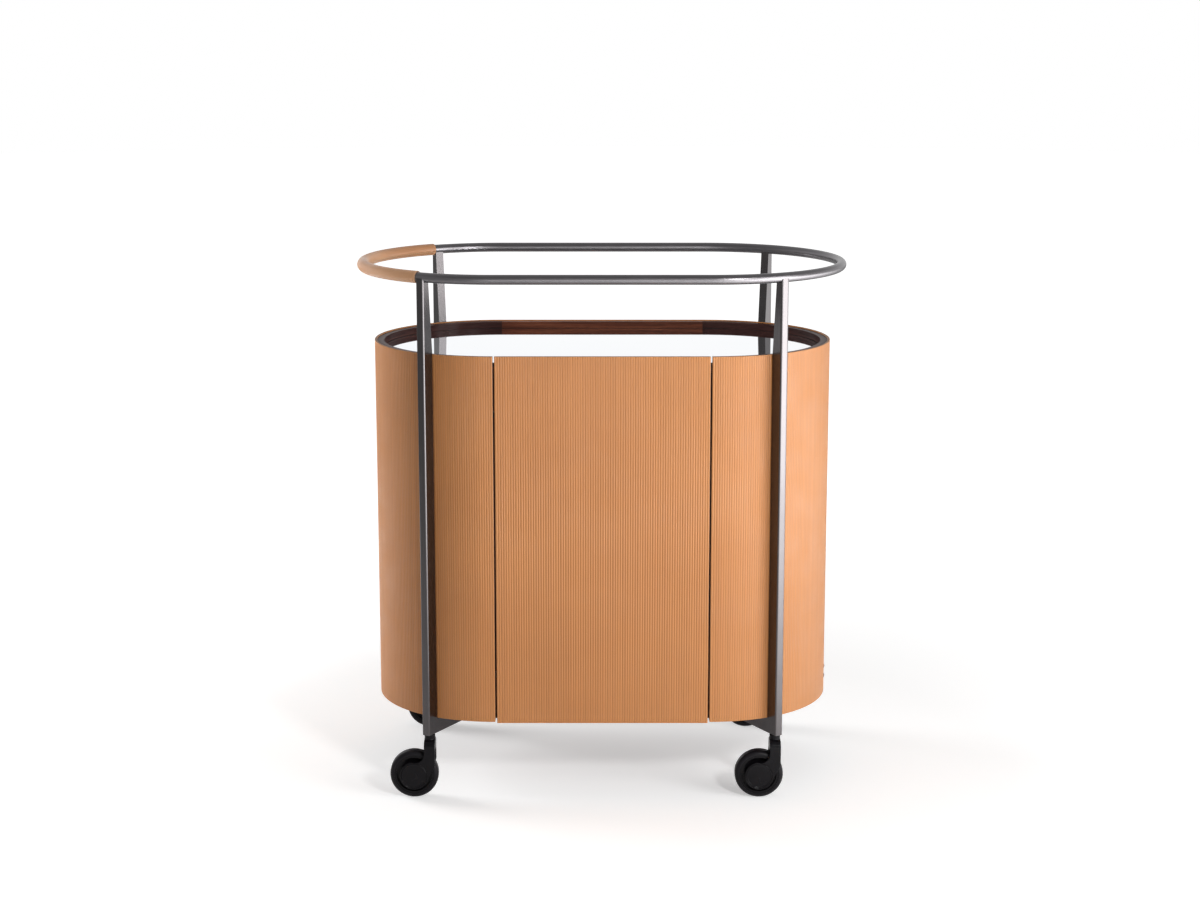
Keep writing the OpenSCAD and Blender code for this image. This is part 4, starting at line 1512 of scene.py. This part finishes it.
@dataclass(frozen=True)
class Lamp:
    """One soft lamp: where it stands, what it points at, its width and height, and its power in watts."""

    name: str
    place: tuple[float, float, float]
    target: tuple[float, float, float]
    size: tuple[float, float]
    power: float
    glossy: bool = True

    def build(self) -> None:
        """Places the lamp, which the camera never sees and polished pieces only if it is glossy."""
        data = bpy.data.lights.new(self.name, "AREA")
        data.shape = "RECTANGLE"
        data.size, data.size_y = self.size
        data.energy = self.power
        lamp = linked(self.name, data)
        lamp.location = self.place
        aim = Vector(self.target) - Vector(self.place)
        lamp.rotation_euler = aim.to_track_quat("-Z", "Y").to_euler()
        lamp.visible_camera = False
        lamp.visible_glossy = self.glossy


@dataclass
class Studio:
    """The camera, the floor, the lamps and the pale surroundings.

    The floor's ranges are distances from the middle, or the share of a distance that lies on the key lamp's
    side. The surroundings' ranges are parts of a direction, with the brightness at both ends.
    """

    camera_at: tuple[float, float, float] = (-0.0039, -4.034, 1.362)
    pitch: float = 11.42
    lens: float = 72.9
    sensor: float = 36.0
    floor_r: float = 14.0
    floor_sides: int = 96
    floor_tone: tuple[float, float, float, float] = (0.80, 0.80, 0.80, 1)
    floor_glow: float = 0.42
    glow_reach: Range = (0.7, 2.2)
    floor_shine: float = 6.0
    least_shine: float = 0.2
    shine_reach: Range = (0.3, 2.3)
    shine_side: Range = (-0.2, 0.9)
    key_way: tuple[float, float, float] = (0.866, -0.5, 0)
    ceiling: Range = (0.22, 0.60)
    ceiling_tone: Range = (1.0, 0.55)
    front: Range = (-0.5, 0.3)
    front_tone: Range = (0.5, 1.0)
    ambient: float = 0.12
    lamps: Sequence[Lamp] = (
        Lamp("side_softbox", (1.95, -1.32, 0.95), (0, -0.2, 0.85), (1.1, 1.7), 31),
        Lamp("front_lamp", (1.0, -2.16, 1.48), (0, -0.2, 0.4), (0.3, 0.3), 24),
        Lamp("rim_softbox", (-2.2, 0.9, 0.85), (0, 0, 0.45), (1.0, 1.4), 46, glossy=False),
        Lamp("top_softbox", (0.3, 0.2, 3.0), (0, 0, 0.45), (2.4, 1.8), 10, glossy=False))

    def camera(self) -> None:
        """Places the camera at the photograph's viewing angle."""
        data = bpy.data.cameras.new("camera")
        data.lens = self.lens
        data.sensor_width = self.sensor
        camera = linked("camera", data)
        camera.location = self.camera_at
        camera.rotation_euler = (math.radians(90 - self.pitch), 0, 0)
        bpy.context.scene.camera = camera

    def floor(self) -> None:
        """A pale floor that keeps the shadow, fades into white, and shines towards the key lamp."""
        build = bmesh.new()
        bmesh.ops.create_circle(build, cap_ends=True, segments=self.floor_sides, radius=self.floor_r)
        mesh = poured(build, "floor")
        s = Shader("Pale floor", Roughness=0.9, Specular_IOR_Level=0.1, Base_Color=self.floor_tone)
        far = s.add("ShaderNodeVectorMath", {0: s.place}, operation="LENGTH").outputs["Value"]
        glow = s.span(far, self.glow_reach, (self.floor_glow, 1.0))
        aside = s.vector("DOT_PRODUCT", s.place, self.key_way)
        aim = s.span(s.math("DIVIDE", aside, far), self.shine_side)
        beam = s.times(s.span(aside, self.shine_reach), s.math("POWER", aim, 2))
        shine = s.math("ADD", s.times(beam, self.floor_shine), self.least_shine)
        ray = s.add("ShaderNodeLightPath").outputs
        seen, mirrored = s.times(ray["Is Camera Ray"], glow), s.times(ray["Is Glossy Ray"], shine)
        light = s.add("ShaderNodeEmission", {"Strength": s.math("ADD", seen, mirrored)})
        both = s.add("ShaderNodeAddShader", {0: s.surface.outputs[0], 1: light.outputs[0]})
        s.tree.links.new(both.outputs[0], s.tree.nodes["Material Output"].inputs[0])
        mesh.materials.append(s.material)
        floor = linked("floor", mesh)

    def world(self) -> None:
        """A white backdrop under a dark ceiling, dimmer in front; plain white where the camera sees it."""
        world = bpy.data.worlds.new("studio")
        world.use_nodes = True
        bpy.context.scene.world = world
        g = Graph(world.node_tree)
        place = g.add("ShaderNodeTexCoord").outputs["Generated"]
        way = g.add("ShaderNodeSeparateXYZ", {0: place}).outputs
        above = g.span(way["Z"], self.ceiling, self.ceiling_tone)
        behind = g.span(way["Y"], self.front, self.front_tone)
        ray = g.add("ShaderNodeLightPath").outputs
        plain = g.math("MAXIMUM", ray["Is Camera Ray"], ray["Is Transmission Ray"])
        diffuse = ray["Is Diffuse Ray"]
        soft = g.times(diffuse, self.ambient)
        glossy = g.times(g.times(above, behind), g.math("SUBTRACT", 1.0, diffuse))
        strength = g.math("MAXIMUM", plain, g.math("ADD", soft, glossy))
        back = world.node_tree.nodes["Background"]
        back.inputs["Color"].default_value = (1, 1, 1, 1)
        world.node_tree.links.new(strength, back.inputs["Strength"])

    def build(self) -> None:
        """Builds the whole studio."""
        self.camera()
        self.floor()
        for lamp in self.lamps:
            lamp.build()
        self.world()
        bpy.context.scene.view_settings.view_transform = "Standard"


def main() -> None:
    """Builds the studio and every sub-assembly around the frame."""
    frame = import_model()
    Studio().build()
    plan = Plan.read()
    shop = Workshop(frame, plan, Finishes(plan.half_straight))
    for assembly in (LeatherCladding(shop), Woodwork(shop), Top(shop), HandRail(shop), Posts(shop),
                     Screws(shop), DoorFittings(shop), Castors(shop)):
        assembly.build()
        LOG.info("%s done", type(assembly).__name__)


if __name__ == "__main__":
    logging.basicConfig(level=logging.INFO, format="%(name)s: %(message)s")
    main()
